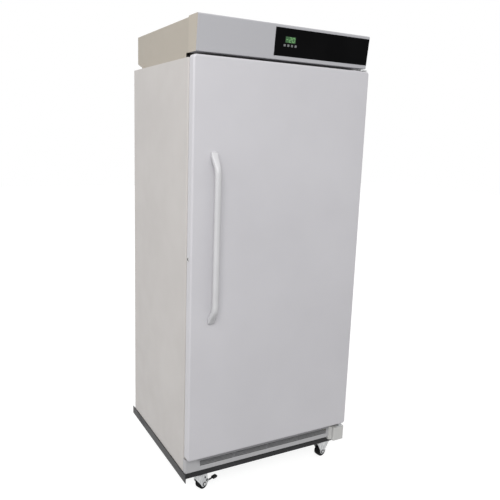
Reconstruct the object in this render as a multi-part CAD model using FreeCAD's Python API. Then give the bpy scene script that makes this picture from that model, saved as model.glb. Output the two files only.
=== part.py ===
import FreeCAD, Part
import math
import os

# Upright laboratory freezer on a caster frame, with a control housing on top.
# Millimetres. X to the right, Y backwards, Z up. Heights count from the floor.
# Depths in this file count from the door's front skin; SHIFT_Y at the end of
# the sizes moves the whole model so that its origin is the centre of its base.

V = FreeCAD.Vector

# Cabinet
cabinet_width = 813.0
cabinet_depth = 645.0
cabinet_height = 1713.8
sheet = 1.0
front_edge_radius = 7.0
front_flange = 34.0
insulation = 59.0
liner_wall = 2.0
liner_radius = 16.0
compartment_height = 204.0
compartment_depth = 232.0
step_insulation = 45.0
toe_height = 96.0
face_gap = 0.3

# Door
door_base_rise = 99.8
door_thickness = 36.0
door_rise = 8.0
closed_gap = 12.0
door_corner_radius = 13.0
door_edge_radius = 8.0
door_rear_flange = 14.0
gasket_inset = 22.5
gasket_width = 16.0
gasket_lip = 3.0
dike_side_room = 22.5
dike_end_room = 18.0
dike_reach = 70.0
dike_width = 25.0
dike_corner_radius = 16.0
dike_edge_radius = 8.0
ledge_height = 22.0
pocket_count = 5
pocket_back = 14.0
bar_radius = 4.0
bar_rows = (38.0, 78.0)

# Hinges
hinge_inset = 16.5
hinge_depth = 20.0
pin_radius = 5.0
pin_reach = 22.0
pin_clearance = 0.05
bush_wall = 2.2
bush_flange_radius = 10.0
bush_flange_height = 2.4
hinge_plate = 3.2
hinge_plate_width = 36.0
hinge_shelf_gap = 1.5
hinge_base_length = 42.0
screw_radius = 2.5
screw_head_radius = 5.0
screw_head_height = 2.4

# Door lock
lock_height = 1042.0
lock_depth = 26.0
lock_ring_radius = 9.5
lock_ring_height = 1.5
lock_barrel_radius = 7.5
lock_barrel_length = 8.0
lock_plug_radius = 5.5
lock_cam_length = 26.0
lock_cam_half_width = 4.5
lock_cam_thickness = 2.0
keyway_width = 1.6
keyway_length = 8.0
keyway_depth = 4.0
keyway_lean = 32.0

# Handle
handle_top = 1458.0
handle_length = 682.0
handle_inset = 89.0
handle_reach = 55.0
grip_width = 22.0
grip_depth = 22.0
foot_width = 28.0
foot_depth = 9.0
foot_length = 30.0
foot_taper = 30.0
bend_length = 84.0
bend_radius = 70.0
handle_edge_radius = 7.0
foot_edge_radius = 4.0

# Refrigerated shelves
shelf_count = 4
shelf_first_rise = 225.0
shelf_front_room = 34.0
shelf_rod_radius = 3.0
shelf_wire_radius = 1.8
shelf_wire_count = 9
shelf_weld_gap = 0.05
shelf_tube_width = 9.0
shelf_tube_height = 5.0
shelf_tube_runs = 6
shelf_tube_margin = 30.0
riser_radius = 4.0

# Kick grille and lower hinge cover
kick_gap = 5.0
kick_wall = 2.4
kick_face = 30.0
kick_corner_radius = 8.0
kick_lap = 3.5
kick_end_gap = 0.5
slot_margin_left = 69.5
slot_margin_right = 12.5
slot_zone_bottom = 19.5
slot_zone_height = 25.0
slot_count = 4
slot_height = 4.4
slot_rib_count = 3
hinge_cover_width = 58.5
hinge_cover_sweep = 13.0
hinge_cover_front = 6.0
hinge_cover_height = 66.0
hinge_cover_drop = 18.0
hinge_cover_wall = 2.5
hinge_cover_radius = 14.0

# Base frame of steel angle
rail_leg = 38.0
rail_thickness = 3.2
rail_gap = 0.3
rail_front_overhang = 29.5
rail_rear_overhang = 23.5

# Casters
caster_height = 83.0
wheel_diameter = 50.0
wheel_width = 31.0
wheel_tread_bevel = 3.0
wheel_hub_radius = 9.0
axle_radius = 3.0
fork_side_gap = 0.6
fork_sheet = 2.4
fork_head_radius = 19.0
fork_head_height = 7.0
fork_end_radius = 11.0
apron_gap = 1.5
caster_trail = 11.0
caster_plate = 2.8
caster_plate_width = 58.0
caster_plate_depth = 40.0
caster_inset = 91.0
caster_setback = 30.0
king_pin_radius = 5.0
lever_pivot_radius = 3.0
lever_pivot_ahead = 17.0
lever_pivot_rise = 11.0
lever_reach = 53.0
lever_thickness = 4.0
lever_height = 6.0
pad_length = 25.0
pad_width = 18.0
pad_height = 11.0

# Control housing
housing_inset = 13.5
housing_depth_back = 13.0
housing_height = 146.0
housing_sheet = 1.2
housing_front_relief = 19.0
housing_relief_end = 57.0
housing_rear_chamfer = 57.0
housing_rear_lift = 18.6
bezel_depth = 70.0
bezel_bottom_setback = 12.0
bezel_tilt = 6.56
bezel_height = 131.4
bezel_wall = 3.0
bezel_gap = 0.3
fascia_left = 66.0
fascia_margin_low = 14.5
fascia_height = 105.0
fascia_thickness = 2.0
fascia_gap = 0.2
display_width = 48.0
display_height = 24.5
display_centre = 5.0
display_rise = 65.0
button_count = 4
button_size = 8.6
button_pitch = 16.9
button_rise = 55.5
button_proud = 1.0
button_gap = 0.3
button_travel = 0.8
board_width = 120.0
board_height = 70.0
board_thickness = 1.6
board_setback = 12.0

# Compressor
can_radius = 78.0
can_height = 165.0
can_seam_height = 74.0
grommet_radius = 13.0
grommet_height = 16.0
compressor_offset = 95.0
foot_plate = 3.0
foot_plate_width = 190.0
foot_plate_depth = 118.0
drier_radius = 9.5
drier_length = 90.0
inlet_width = 28.0
inlet_height = 22.0
inlet_depth = 24.0
probe_radius = 3.0
probe_length = 60.0
drain_radius = 9.0
drain_wall = 1.5

# Places that follow from the sizes
half = cabinet_width / 2
rail_top = caster_height + rail_thickness
base_z = rail_top
top_z = base_z + cabinet_height
front_y = door_thickness + closed_gap
back_y = front_y + cabinet_depth
foam_x = half - sheet
liner_x = foam_x - insulation
cavity_x = liner_x - liner_wall
floor_z = base_z + toe_height
cavity_floor = floor_z + insulation
cavity_top = top_z - sheet - insulation
cavity_back = back_y - sheet - insulation
compartment_top = base_z + compartment_height
compartment_front = back_y - compartment_depth
step_top = compartment_top + step_insulation
step_front = compartment_front - step_insulation
rail_half = half + rail_gap + rail_thickness
front_rail_y = front_y - rail_gap - rail_thickness
rear_rail_y = back_y + rail_gap
rail_tip_y = front_rail_y - rail_front_overhang
rail_end_y = rear_rail_y + rail_thickness + rail_rear_overhang
door_top = top_z + door_rise
door_bottom = base_z + door_base_rise
hinge_x = half - hinge_inset
door_back = door_thickness
liner_flange_back = door_back + liner_wall
gasket_back = front_y - face_gap
dike_x = cavity_x - dike_side_room
dike_low = cavity_floor + liner_wall + dike_end_room
dike_high = cavity_top - liner_wall - dike_end_room
dike_back = liner_flange_back + dike_reach
pocket_x = dike_x - dike_width
pocket_height = (dike_high - dike_low - (pocket_count + 1) * ledge_height) / pocket_count
pocket_y = liner_flange_back + pocket_back
shelf_front = dike_back + shelf_front_room
shelf_back = cavity_back - liner_wall - face_gap
shelf_floor = step_top + liner_wall
shelf_step = (cavity_top - liner_wall - shelf_floor - shelf_first_rise) / shelf_count
handle_x = -(half - handle_inset)
housing_x = half - housing_inset
housing_back = back_y - housing_depth_back
housing_top = top_z + housing_height
housing_front_low = top_z + housing_front_relief
axle_z = wheel_diameter / 2
caster_span = half - caster_inset
fork_outer = wheel_width / 2 + fork_side_gap + fork_sheet
rail_low = caster_height
SHIFT_Y = (handle_reach - rail_end_y) / 2


def block(x0, x1, y0, y1, z0, z1):
    """Box between two corners."""
    return Part.makeBox(x1 - x0, y1 - y0, z1 - z0, V(x0, y0, z0))


def tube_between(start, end, radius):
    """Round bar from one point to another."""
    along = end - start
    return Part.makeCylinder(radius, along.Length, start, along)


def picked(shape, rule):
    """Edges whose bounding box passes the rule."""
    return [edge for edge in shape.Edges if rule(edge.BoundBox)]


def rounded_wire(corners, radii):
    """Closed outline through the corners, each rounded by its own radius."""
    count = len(corners)
    firsts = []
    lasts = []
    edges = []
    for index, corner in enumerate(corners):
        back = (corners[index - 1] - corner).normalize()
        ahead = (corners[(index + 1) % count] - corner).normalize()
        turn = back.getAngle(ahead)
        reach = radii[index] / math.tan(turn / 2)
        firsts.append(corner + back * reach)
        lasts.append(corner + ahead * reach)
    for index, corner in enumerate(corners):
        if radii[index] > 0:
            inward = ((firsts[index] + lasts[index]) * 0.5 - corner).normalize()
            back = (corners[index - 1] - corner).normalize()
            half_turn = back.getAngle(inward)
            nearest = radii[index] / math.sin(half_turn) - radii[index]
            middle = corner + inward * nearest
            edges.append(Part.Arc(firsts[index], middle, lasts[index]).toShape())
        following = firsts[(index + 1) % count]
        if lasts[index].distanceToPoint(following) > 1e-6:
            edges.append(Part.LineSegment(lasts[index], following).toShape())
    return Part.Wire(edges)


def plan_prism(points, radii, z0, z1):
    """Outline in plan, raised from z0 to z1."""
    wire = rounded_wire([V(x, y, z0) for x, y in points], radii)
    return Part.Face(wire).extrude(V(0, 0, z1 - z0))


def side_prism(points, radii, x0, x1):
    """Outline seen from the side, as (depth, height) points, run from x0 to x1."""
    wire = rounded_wire([V(x0, y, z) for y, z in points], radii)
    return Part.Face(wire).extrude(V(x1 - x0, 0, 0))


def front_prism(x0, x1, z0, z1, y0, y1, radius):
    """Rectangle with rounded corners seen from the front, run from y0 to y1."""
    corners = [V(x0, y0, z0), V(x1, y0, z0), V(x1, y0, z1), V(x0, y0, z1)]
    wire = rounded_wire(corners, [radius] * 4)
    return Part.Face(wire).extrude(V(0, y1 - y0, 0))


def revolved(points, radii, centre, axis, turn_from):
    """Profile of (radius, height) points turned about an axis through the centre."""
    corners = [centre + turn_from * r + axis * h for r, h in points]
    face = Part.Face(rounded_wire(corners, radii))
    return face.revolve(centre, axis, 360)


def screw(seat, direction, shank):
    """Cheese-head screw: head outside the seat, shank along the direction."""
    across = V(0, 0, 1).cross(direction)
    if across.Length < 0.5:
        across = V(1, 0, 0)
    across.normalize()
    bevel = screw_head_height * 0.4
    points = [
        (0, -shank),
        (screw_radius, -shank),
        (screw_radius, 0),
        (screw_head_radius, 0),
        (screw_head_radius, screw_head_height - bevel),
        (screw_head_radius - bevel, screw_head_height),
        (0, screw_head_height),
    ]
    return revolved(points, [0] * 7, seat, direction * -1, across)


# Cabinet body


def outer_wrapper():
    """Steel wrapper: two sides, top and front flange in one folded sheet."""
    outside = block(-half, half, front_y, back_y, base_z, top_z)
    edges = picked(outside, lambda b: b.YMax < front_y + 0.1 and b.ZMax > base_z + 0.1)
    outside = outside.makeFillet(front_edge_radius, edges)
    inside = block(-foam_x, foam_x, front_y + sheet, back_y + sheet, base_z - sheet, top_z - sheet)
    edges = picked(
        inside, lambda b: b.YMax < front_y + sheet + 0.1 and b.ZMax > base_z - sheet + 0.1
    )
    inside = inside.makeFillet(front_edge_radius - sheet, edges)
    mouth_x = half - front_flange
    mouth = block(
        -mouth_x, mouth_x, front_y - sheet, front_y + 2 * sheet, base_z - sheet, top_z - front_flange
    )
    return outside.cut(inside).cut(mouth).cut(strike_slot())


def strike_slot():
    """Slot in the front flange that takes the lock's cam."""
    cam_x = -(half - lock_barrel_length - face_gap)
    return block(
        cam_x - 1.2,
        cam_x + lock_cam_thickness + 1.2,
        front_y - sheet,
        lock_depth + lock_cam_length + 3,
        lock_height - lock_cam_half_width - 1.5,
        lock_height + lock_cam_length * 0.8,
    )


def cabinet_foam():
    """Insulation blocks between the wrapper and the liner."""
    face = front_y + sheet
    rear = back_y - sheet
    skirt_z = rail_low + rail_leg + 2
    roof = top_z - sheet
    # A chamfer keeps the block's front edge inside the wrapper's rounded corner.
    edge = front_edge_radius - sheet
    right = plan_prism(
        [
            (liner_x, face),
            (foam_x - edge, face),
            (foam_x, face + edge),
            (foam_x, rear),
            (liner_x, rear),
        ],
        [0] * 5,
        skirt_z,
        roof - edge,
    )
    left = right.mirror(V(0, 0, 0), V(1, 0, 0))
    floor = block(-liner_x, liner_x, face, step_front, floor_z, cavity_floor)
    floor = floor.cut(drain_bore())
    riser = block(-liner_x, liner_x, step_front, compartment_front, floor_z, compartment_top)
    shelf = block(-liner_x, liner_x, step_front, cavity_back, compartment_top, step_top)
    back = block(-liner_x, liner_x, cavity_back, rear, compartment_top, roof - edge)
    top = block(-liner_x, liner_x, face, cavity_back, cavity_top, roof - edge)
    left = left.cut(strike_slot())
    return Part.makeCompound([left, right, floor, riser, shelf, back, top])


def step_outline(inset, face):
    """Side view of the cavity, drawn inset from the insulation."""
    return [
        (face, cavity_floor + inset),
        (step_front - inset, cavity_floor + inset),
        (step_front - inset, step_top + inset),
        (cavity_back - inset, step_top + inset),
        (cavity_back - inset, cavity_top - inset),
        (face, cavity_top - inset),
    ]


def inner_liner():
    """Moulded food-grade liner with a step over the compressor and a mouth flange."""
    face = front_y
    outer_radii = [0, liner_radius, 0, liner_radius, liner_radius, 0]
    outside = side_prism(step_outline(0, face), outer_radii, -liner_x, liner_x)
    inner_radius = liner_radius - liner_wall
    inner_radii = [
        0,
        inner_radius,
        liner_wall,
        inner_radius,
        inner_radius,
        0,
    ]
    inside = side_prism(step_outline(liner_wall, face - 1), inner_radii, -cavity_x, cavity_x)
    outline = side_prism(step_outline(0, face), outer_radii, -half, half)
    flange_x = half - front_flange - face_gap
    flange = block(
        -flange_x,
        flange_x,
        face,
        face + liner_wall / 2,
        floor_z,
        top_z - front_flange - face_gap,
    )
    flange = flange.cut(outline)
    shell = outside.fuse(flange).cut(inside).cut(drain_bore())
    return shell.removeSplitter()


def drain_bore():
    """Hole through the cavity floor for the defrost drain."""
    place = V(0, shelf_front, floor_z - 1)
    return Part.makeCylinder(drain_radius, insulation + liner_wall + 2, place)


def defrost_drain():
    """Drain spout through the insulated floor, with a funnel-shaped inlet and a tail."""
    outer = drain_radius - face_gap
    bore = outer - drain_wall
    tail = 22.0
    inlet = cavity_floor + liner_wall - floor_z
    points = [
        (bore, -tail),
        (outer, -tail),
        (outer, inlet + 0.4),
        (outer + 5, inlet + 0.4),
        (outer + 5, inlet + 2.4),
        (outer - 0.5, inlet + 2.4),
        (bore, inlet - 6),
    ]
    centre = V(0, shelf_front, floor_z)
    return revolved(points, [0] * 7, centre, V(0, 0, 1), V(1, 0, 0))


def underfloor_panel():
    """Bent sheet under the floor, up the step and over the compressor space."""
    face = front_y + sheet
    points = [
        (face, floor_z),
        (face, floor_z - sheet),
        (compartment_front + sheet, floor_z - sheet),
        (compartment_front + sheet, compartment_top - sheet),
        (back_y - sheet, compartment_top - sheet),
        (back_y - sheet, compartment_top),
        (compartment_front, compartment_top),
        (compartment_front, floor_z),
    ]
    panel = side_prism(points, [0] * 8, -liner_x, liner_x)
    return panel.cut(drain_bore())


def rear_panel():
    """Back sheet, with pressed stiffening beads."""
    bead_width = 16.0
    bead_pitch = 240.0
    bead_height = sheet * 0.8
    edge = foam_x - face_gap
    low = compartment_top + face_gap
    high = top_z - sheet - face_gap
    panel = block(-edge, edge, back_y - sheet, back_y, low, high)
    cut = block(-edge, edge, back_y - bead_height, back_y + 1, low, high)
    margin = 46.0
    field = front_prism(
        -edge + margin, edge - margin, low + margin, high - margin, back_y - sheet, back_y, 24
    )
    bead_count = int((high - low - 2 * margin) / bead_pitch)
    for index in range(1, bead_count + 1):
        z = low + margin + index * bead_pitch
        ridge = front_prism(
            -edge + margin + bead_width,
            edge - margin - bead_width,
            z - bead_width / 2,
            z + bead_width / 2,
            back_y - sheet,
            back_y,
            bead_width / 2 - 0.1,
        )
        field = field.cut(ridge)
    return panel.cut(field.common(cut))


def rear_cover():
    """Slotted cover over the compressor space, with the power inlet's cut-out."""
    edge = foam_x - face_gap
    low = rail_low + rail_leg + 4
    high = compartment_top - face_gap
    cover = block(-edge, edge, back_y - sheet, back_y, low, high)
    louvre_count = 9
    louvre_rows = 3
    louvre_width = 44.0
    louvre_height = 6.0
    pitch_x = 58.0
    pitch_z = 26.0
    for row in range(louvre_rows):
        for column in range(louvre_count):
            x = (column - (louvre_count - 1) / 2) * pitch_x
            z = (low + high) / 2 + (row - (louvre_rows - 1) / 2) * pitch_z
            slot = block(
                x - louvre_width / 2,
                x + louvre_width / 2,
                back_y - 2 * sheet,
                back_y + sheet,
                z - louvre_height / 2,
                z + louvre_height / 2,
            )
            cover = cover.cut(slot)
    cut = inlet_block(face_gap)
    return cover.cut(cut)


def inlet_centre():
    """Place of the power inlet on the rear cover."""
    return V(-(liner_x - 42), back_y, rail_low + rail_leg + 34)


def inlet_block(extra):
    """Body of the power inlet, enlarged by a clearance."""
    centre = inlet_centre()
    return block(
        centre.x - inlet_width / 2 - extra,
        centre.x + inlet_width / 2 + extra,
        centre.y - inlet_depth,
        centre.y + 0.5,
        centre.z - inlet_height / 2 - extra,
        centre.z + inlet_height / 2 + extra,
    )


def power_inlet():
    """Appliance inlet: flanged body, recessed socket and three contact blades."""
    centre = inlet_centre()
    flange = 2.0
    rim = 4.0
    wall = 2.5
    body = inlet_block(0)
    lip = front_prism(
        centre.x - inlet_width / 2 - rim,
        centre.x + inlet_width / 2 + rim,
        centre.z - inlet_height / 2 - rim,
        centre.z + inlet_height / 2 + rim,
        centre.y + face_gap,
        centre.y + face_gap + flange,
        3,
    )
    socket = front_prism(
        centre.x - inlet_width / 2 + wall,
        centre.x + inlet_width / 2 - wall,
        centre.z - inlet_height / 2 + wall,
        centre.z + inlet_height / 2 - wall,
        centre.y - inlet_depth + wall,
        centre.y + flange + 1,
        3,
    )
    inlet = body.fuse(lip).cut(socket)
    for offset, rise in ((-7, -2), (0, 2), (7, -2)):
        blade = block(
            centre.x + offset - 1,
            centre.x + offset + 1,
            centre.y - inlet_depth + 1,
            centre.y - 4,
            centre.z + rise - 3,
            centre.z + rise + 3,
        )
        inlet = inlet.fuse(blade)
    return inlet.removeSplitter()


# Cold shelves


def shelf_height(index):
    """Height of one shelf's rods."""
    return shelf_floor + shelf_first_rise + index * shelf_step


def cold_shelf(index):
    """Refrigerated shelf: welded wires lying on a rod frame and a flattened serpentine tube."""
    z = shelf_height(index)
    edge = cavity_x - face_gap - shelf_rod_radius
    front = shelf_front + shelf_rod_radius
    back = shelf_back - shelf_rod_radius
    start = shelf_front
    rods = []
    for side in (-1, 1):
        rods.append(tube_between(V(side * edge, start, z), V(side * edge, shelf_back, z), shelf_rod_radius))
    reach = edge - shelf_rod_radius - shelf_weld_gap
    for y in (front, back):
        rods.append(tube_between(V(-reach, y, z), V(reach, y, z), shelf_rod_radius))
    pitch = 2 * edge / (shelf_wire_count + 1)
    level = z + shelf_rod_radius + shelf_wire_radius + shelf_weld_gap
    for wire in range(1, shelf_wire_count + 1):
        x = -edge + wire * pitch
        rods.append(tube_between(V(x, start, level), V(x, shelf_back, level), shelf_wire_radius))
    return Part.makeCompound(rods + [serpentine(z + shelf_rod_radius)])


def serpentine(top):
    """Flattened evaporator tube that runs to and fro under the wires."""
    low = top - shelf_tube_height
    front = shelf_front + shelf_tube_margin
    back = shelf_back - shelf_tube_margin
    pitch = (back - front) / (shelf_tube_runs - 1)
    bend = pitch / 2
    wide = shelf_tube_width / 2
    reach = cavity_x - shelf_tube_margin - bend
    tube = None
    for run in range(shelf_tube_runs):
        y = front + run * pitch
        straight = block(-reach, reach, y - wide, y + wide, low, top)
        tube = straight if tube is None else tube.fuse(straight)
        if run == shelf_tube_runs - 1:
            continue
        side = 1 if run % 2 == 0 else -1
        centre = V(side * reach, y + bend, low)
        ring = Part.makeCylinder(bend + wide, shelf_tube_height, centre)
        ring = ring.cut(Part.makeCylinder(bend - wide, shelf_tube_height, centre))
        outward = block(0, bend + wide, -bend - wide, bend + wide, low, top)
        if side < 0:
            outward = outward.mirror(V(0, 0, 0), V(1, 0, 0))
        outward.translate(V(centre.x, centre.y, 0))
        tube = tube.fuse(ring.common(outward))
    return tube.removeSplitter()


def suction_riser():
    """Tube up the back corner, past the ends of the shelves."""
    x = cavity_x - liner_radius - riser_radius
    y = shelf_back - shelf_rod_radius * 2 - riser_radius - face_gap
    low = shelf_floor + liner_radius / 2
    high = shelf_height(shelf_count - 1) + shelf_rod_radius
    return tube_between(V(x, y, low), V(x, y, high), riser_radius)


def temperature_probe():
    """Sensor rod in a clip on the right wall of the cavity."""
    clip = 10.0
    x = cavity_x - face_gap - clip / 2
    y = (shelf_front + shelf_back) / 2
    z = shelf_height(shelf_count - 1) + shelf_step / 2
    rod = tube_between(V(x, y - probe_length / 2, z), V(x, y + probe_length / 2, z), probe_radius)
    body = block(x - clip / 2, x + clip / 2, y - 8, y + 8, z - 7, z + 7)
    return body.fuse(rod).removeSplitter()


# Machine compartment


def base_pan():
    """Tray on the base frame, with turned-up front and rear lips."""
    edge = foam_x - face_gap
    lip = 14.0
    front = front_y + front_edge_radius + 2
    rear = back_y - sheet - 4
    floor = block(-edge, edge, front, rear, rail_top, rail_top + sheet)
    front_lip = block(-edge, edge, front, front + sheet, rail_top, rail_top + lip)
    rear_lip = block(-edge, edge, rear - sheet, rear, rail_top, rail_top + lip)
    return floor.fuse(front_lip).fuse(rear_lip).removeSplitter()


def compressor_centre():
    """Middle of the compressor on the base pan."""
    return V(compressor_offset, (compartment_front + back_y) / 2 + 4, rail_top + sheet)


def compressor():
    """Hermetic compressor: two drawn shells with a seam, feet and a terminal box."""
    centre = compressor_centre()
    seat = centre + V(0, 0, grommet_height - 6)
    seam = can_seam_height
    lip = 4.0
    dome = 34.0
    points = [
        (0, 0),
        (can_radius - 18, 0),
        (can_radius - 3, 16),
        (can_radius - 3, seam),
        (can_radius + lip, seam),
        (can_radius + lip, seam + lip),
        (can_radius, seam + lip),
        (can_radius, can_height - dome),
        (can_radius - 12, can_height - dome * 0.4),
        (can_radius - 34, can_height),
        (0, can_height),
    ]
    can = revolved(
        points, [0] * 11, seat + V(0, 0, foot_plate), V(0, 0, 1), V(1, 0, 0)
    )
    plate = plan_prism(
        [
            (seat.x - foot_plate_width / 2, seat.y - foot_plate_depth / 2),
            (seat.x + foot_plate_width / 2, seat.y - foot_plate_depth / 2),
            (seat.x + foot_plate_width / 2, seat.y + foot_plate_depth / 2),
            (seat.x - foot_plate_width / 2, seat.y + foot_plate_depth / 2),
        ],
        [14] * 4,
        seat.z,
        seat.z + foot_plate,
    )
    for hole in grommet_places():
        bore = Part.makeCylinder(grommet_radius - 5, foot_plate + 2, V(hole.x, hole.y, seat.z - 1))
        plate = plate.cut(bore)
    box_z = seat.z + foot_plate + seam + 12
    terminal = block(
        seat.x - can_radius - 26, seat.x - can_radius + 12, seat.y - 26, seat.y + 26, box_z, box_z + 46
    )
    return can.fuse(plate).fuse(terminal).removeSplitter()


def grommet_places():
    """Corners of the compressor's foot plate."""
    centre = compressor_centre()
    places = []
    for side in (-1, 1):
        for end in (-1, 1):
            x = centre.x + side * (foot_plate_width / 2 - 16)
            y = centre.y + end * (foot_plate_depth / 2 - 16)
            places.append(V(x, y, centre.z))
    return places


def compressor_grommets():
    """Rubber feet under the foot plate, with a spigot through each of its holes."""
    waist = grommet_radius - 5 - 0.2
    seat = grommet_height - 6
    feet = []
    for place in grommet_places():
        points = [
            (0, 0),
            (grommet_radius, 0),
            (grommet_radius, seat - 0.1),
            (waist, seat - 0.1),
            (waist, grommet_height),
            (0, grommet_height),
        ]
        feet.append(revolved(points, [0] * 6, place, V(0, 0, 1), V(1, 0, 0)))
    return Part.makeCompound(feet)


def filter_drier():
    """Copper filter drier with necked ends, lying in the base pan."""
    centre = compressor_centre()
    length = drier_length
    neck = 3.0
    points = [
        (0, 0),
        (neck, 0),
        (neck, 12),
        (drier_radius, 22),
        (drier_radius, length - 22),
        (neck, length - 12),
        (neck, length),
        (0, length),
    ]
    x = centre.x - foot_plate_width / 2 - 60
    start = V(x, centre.y - length / 2, centre.z + drier_radius)
    body = revolved(points, [0] * 8, start, V(0, 1, 0), V(1, 0, 0))
    return body


# Fronts below the door


def kick_grille():
    """Slotted kick plate in front of the cabinet's face; its left end turns back to it."""
    low = rail_low + rail_leg - kick_lap
    high = door_bottom - kick_gap
    left = -half
    right = half - hinge_cover_width - hinge_cover_sweep - kick_end_gap
    face = kick_face
    inner = face + kick_wall
    rear = front_y - face_gap
    points = [
        (left, face),
        (right, face),
        (right, inner),
        (left + kick_wall, inner),
        (left + kick_wall, rear),
        (left, rear),
    ]
    radii = [kick_corner_radius, 0, 0, kick_corner_radius - kick_wall, 0, 0]
    plate = plan_prism(points, radii, low, high)
    # Fixing tabs reach back to the cabinet's front flange, above the frame rail.
    rail_clear = rail_low + rail_leg + face_gap
    tab = 12.0
    for x in (left + 2 * tab, right - 2 * tab):
        for z in (rail_clear, high - tab):
            plate = plate.fuse(block(x, x + tab, face + 1, rear, z, z + tab))
    plate = plate.removeSplitter()
    plate = plate.cut(
        block(left - 1, right + 1, front_rail_y - face_gap, front_y, low - 1, rail_clear)
    )
    zone_left = left + slot_margin_left
    zone_right = right - slot_margin_right
    zone_low = low + slot_zone_bottom
    pitch = slot_zone_height / slot_count
    for index in range(slot_count):
        z = zone_low + (index + 0.5) * pitch
        slot = front_prism(
            zone_left,
            zone_right,
            z - slot_height / 2,
            z + slot_height / 2,
            face - 1,
            inner + 1,
            slot_height / 2 - 0.05,
        )
        plate = plate.cut(slot)
    # Ribs behind the long slats tie them together.
    rib = 3.0
    for index in range(1, slot_rib_count + 1):
        x = zone_left + index * (zone_right - zone_left) / (slot_rib_count + 1)
        rear_rib = block(
            x - rib / 2,
            x + rib / 2,
            inner - kick_wall / 3,
            inner + rib,
            zone_low - rib,
            zone_low + slot_zone_height + rib,
        )
        plate = plate.fuse(rear_rib)
    return plate.removeSplitter()


def lower_hinge_cover():
    """Moulded cover over the lower hinge, hollow at the back, with a swept inner side."""
    low = rail_low + rail_leg - hinge_cover_drop
    high = low + hinge_cover_height
    rear = front_y - face_gap
    right = half
    left = right - hinge_cover_width
    toe = left - hinge_cover_sweep
    front = hinge_cover_front

    def shape(inset):
        outline = [
            (right - inset, front + inset),
            (left + inset, front + inset),
            (left + inset, front + hinge_cover_radius),
            (toe + inset, kick_face + inset),
            (toe + inset, rear),
            (right - inset, rear),
        ]
        return outline, [4 - min(inset, 3), hinge_cover_radius / 2, 8, 5, 0, 0]

    outline, radii = shape(0)
    body = plan_prism(outline, radii, low, high)
    outline, radii = shape(hinge_cover_wall)
    outline[4] = (outline[4][0], rear + 1)
    outline[5] = (outline[5][0], rear + 1)
    hollow = plan_prism(outline, radii, low - 1, high - hinge_cover_wall)
    notch = block(
        hinge_plate_left() - face_gap,
        hinge_plate_left() + hinge_plate_width + face_gap,
        rear - hinge_plate - face_gap,
        rear + 1,
        high - 2 * hinge_cover_wall,
        high + 1,
    )
    rail_space = block(
        toe - 1, right + 1, front_rail_y - face_gap, rear + 1, low - 1, rail_low + rail_leg + face_gap
    )
    return body.cut(hollow).cut(notch).cut(rail_space)


def hinge_plate_left():
    """Left edge of the lower hinge bracket."""
    return half - hinge_cover_wall - 1 - hinge_plate_width


def lower_hinge_bracket():
    """Bracket with an upward pin: a flange on the cabinet face and a shelf under the door."""
    cover_top = rail_low + rail_leg - hinge_cover_drop + hinge_cover_height
    shelf_z = cover_top + hinge_shelf_gap
    x0 = hinge_plate_left()
    x1 = x0 + hinge_plate_width
    rear = front_y - face_gap
    flange_low = rail_low + rail_leg + 4
    flange = block(x0, x1, rear - hinge_plate, rear, flange_low, shelf_z + hinge_plate)
    nose = hinge_depth - 14
    shelf = plan_prism(
        [(x0, nose), (x1, nose), (x1, rear), (x0, rear)], [8, 8, 0, 0], shelf_z, shelf_z + hinge_plate
    )
    seat = door_bottom - bush_flange_height - face_gap
    collar = Part.makeCylinder(
        pin_radius + 3, seat - shelf_z, V(hinge_x, hinge_depth, shelf_z)
    )
    pin = Part.makeCylinder(
        pin_radius, door_bottom + pin_reach - shelf_z, V(hinge_x, hinge_depth, shelf_z)
    )
    bracket = flange.fuse(shelf).fuse(collar).fuse(pin)
    for place in lower_screw_places():
        bore = Part.makeCylinder(
            screw_radius + 0.2, hinge_plate + 2, place - V(0, 1, 0), V(0, 1, 0)
        )
        bracket = bracket.cut(bore)
    return bracket.removeSplitter()


def lower_screw_places():
    """Screw seats on the lower bracket's flange."""
    x = hinge_plate_left() + hinge_plate_width / 2
    y = front_y - face_gap - hinge_plate
    low = rail_low + rail_leg + 9
    return [V(x, y, low), V(x, y, low + 28)]


def upper_hinge_bracket():
    """Stepped plate on the cabinet top, with a pin that points down into the door."""
    plate_z = door_top + bush_flange_height + face_gap
    x1 = half - 4
    x0 = x1 - hinge_plate_width
    base_front = front_y + front_edge_radius + 4
    base_back = base_front + hinge_base_length
    points = [
        (hinge_depth - 14, plate_z),
        (base_front + 2, plate_z),
        (base_front + 2, top_z),
        (base_back, top_z),
        (base_back, top_z + hinge_plate),
        (base_front + 2 + hinge_plate, top_z + hinge_plate),
        (base_front + 2 + hinge_plate, plate_z + hinge_plate),
        (hinge_depth - 14, plate_z + hinge_plate),
    ]
    bracket = side_prism(points, [0, 1, 0, 0, 0, 1, 3, 0], x0, x1)
    tip = picked(
        bracket, lambda b: b.YMax < hinge_depth - 13.9 and b.XLength < 0.1 and b.ZLength > 1
    )
    bracket = bracket.makeFillet(8, tip)
    pin_end = door_top - pin_reach
    pin = Part.makeCylinder(
        pin_radius, plate_z + hinge_plate - pin_end, V(hinge_x, hinge_depth, pin_end)
    )
    bracket = bracket.fuse(pin)
    for place in upper_screw_places():
        bore = Part.makeCylinder(screw_radius + 0.2, hinge_plate + 2, place - V(0, 0, hinge_plate + 1))
        bracket = bracket.cut(bore)
    return bracket.removeSplitter()


def upper_screw_places():
    """Screw seats on the upper bracket's base."""
    x1 = half - 4
    y = front_y + front_edge_radius + hinge_base_length * 0.7
    z = top_z + hinge_plate
    return [V(x1 - 9, y, z), V(x1 - hinge_plate_width + 9, y, z)]


def hinge_screws():
    """Screws that hold both hinge brackets to the cabinet."""
    shank = hinge_plate - 0.2
    screws = [screw(place, V(0, 1, 0), shank) for place in lower_screw_places()]
    screws += [screw(place, V(0, 0, -1), shank) for place in upper_screw_places()]
    return Part.makeCompound(screws)


# Base frame


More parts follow.
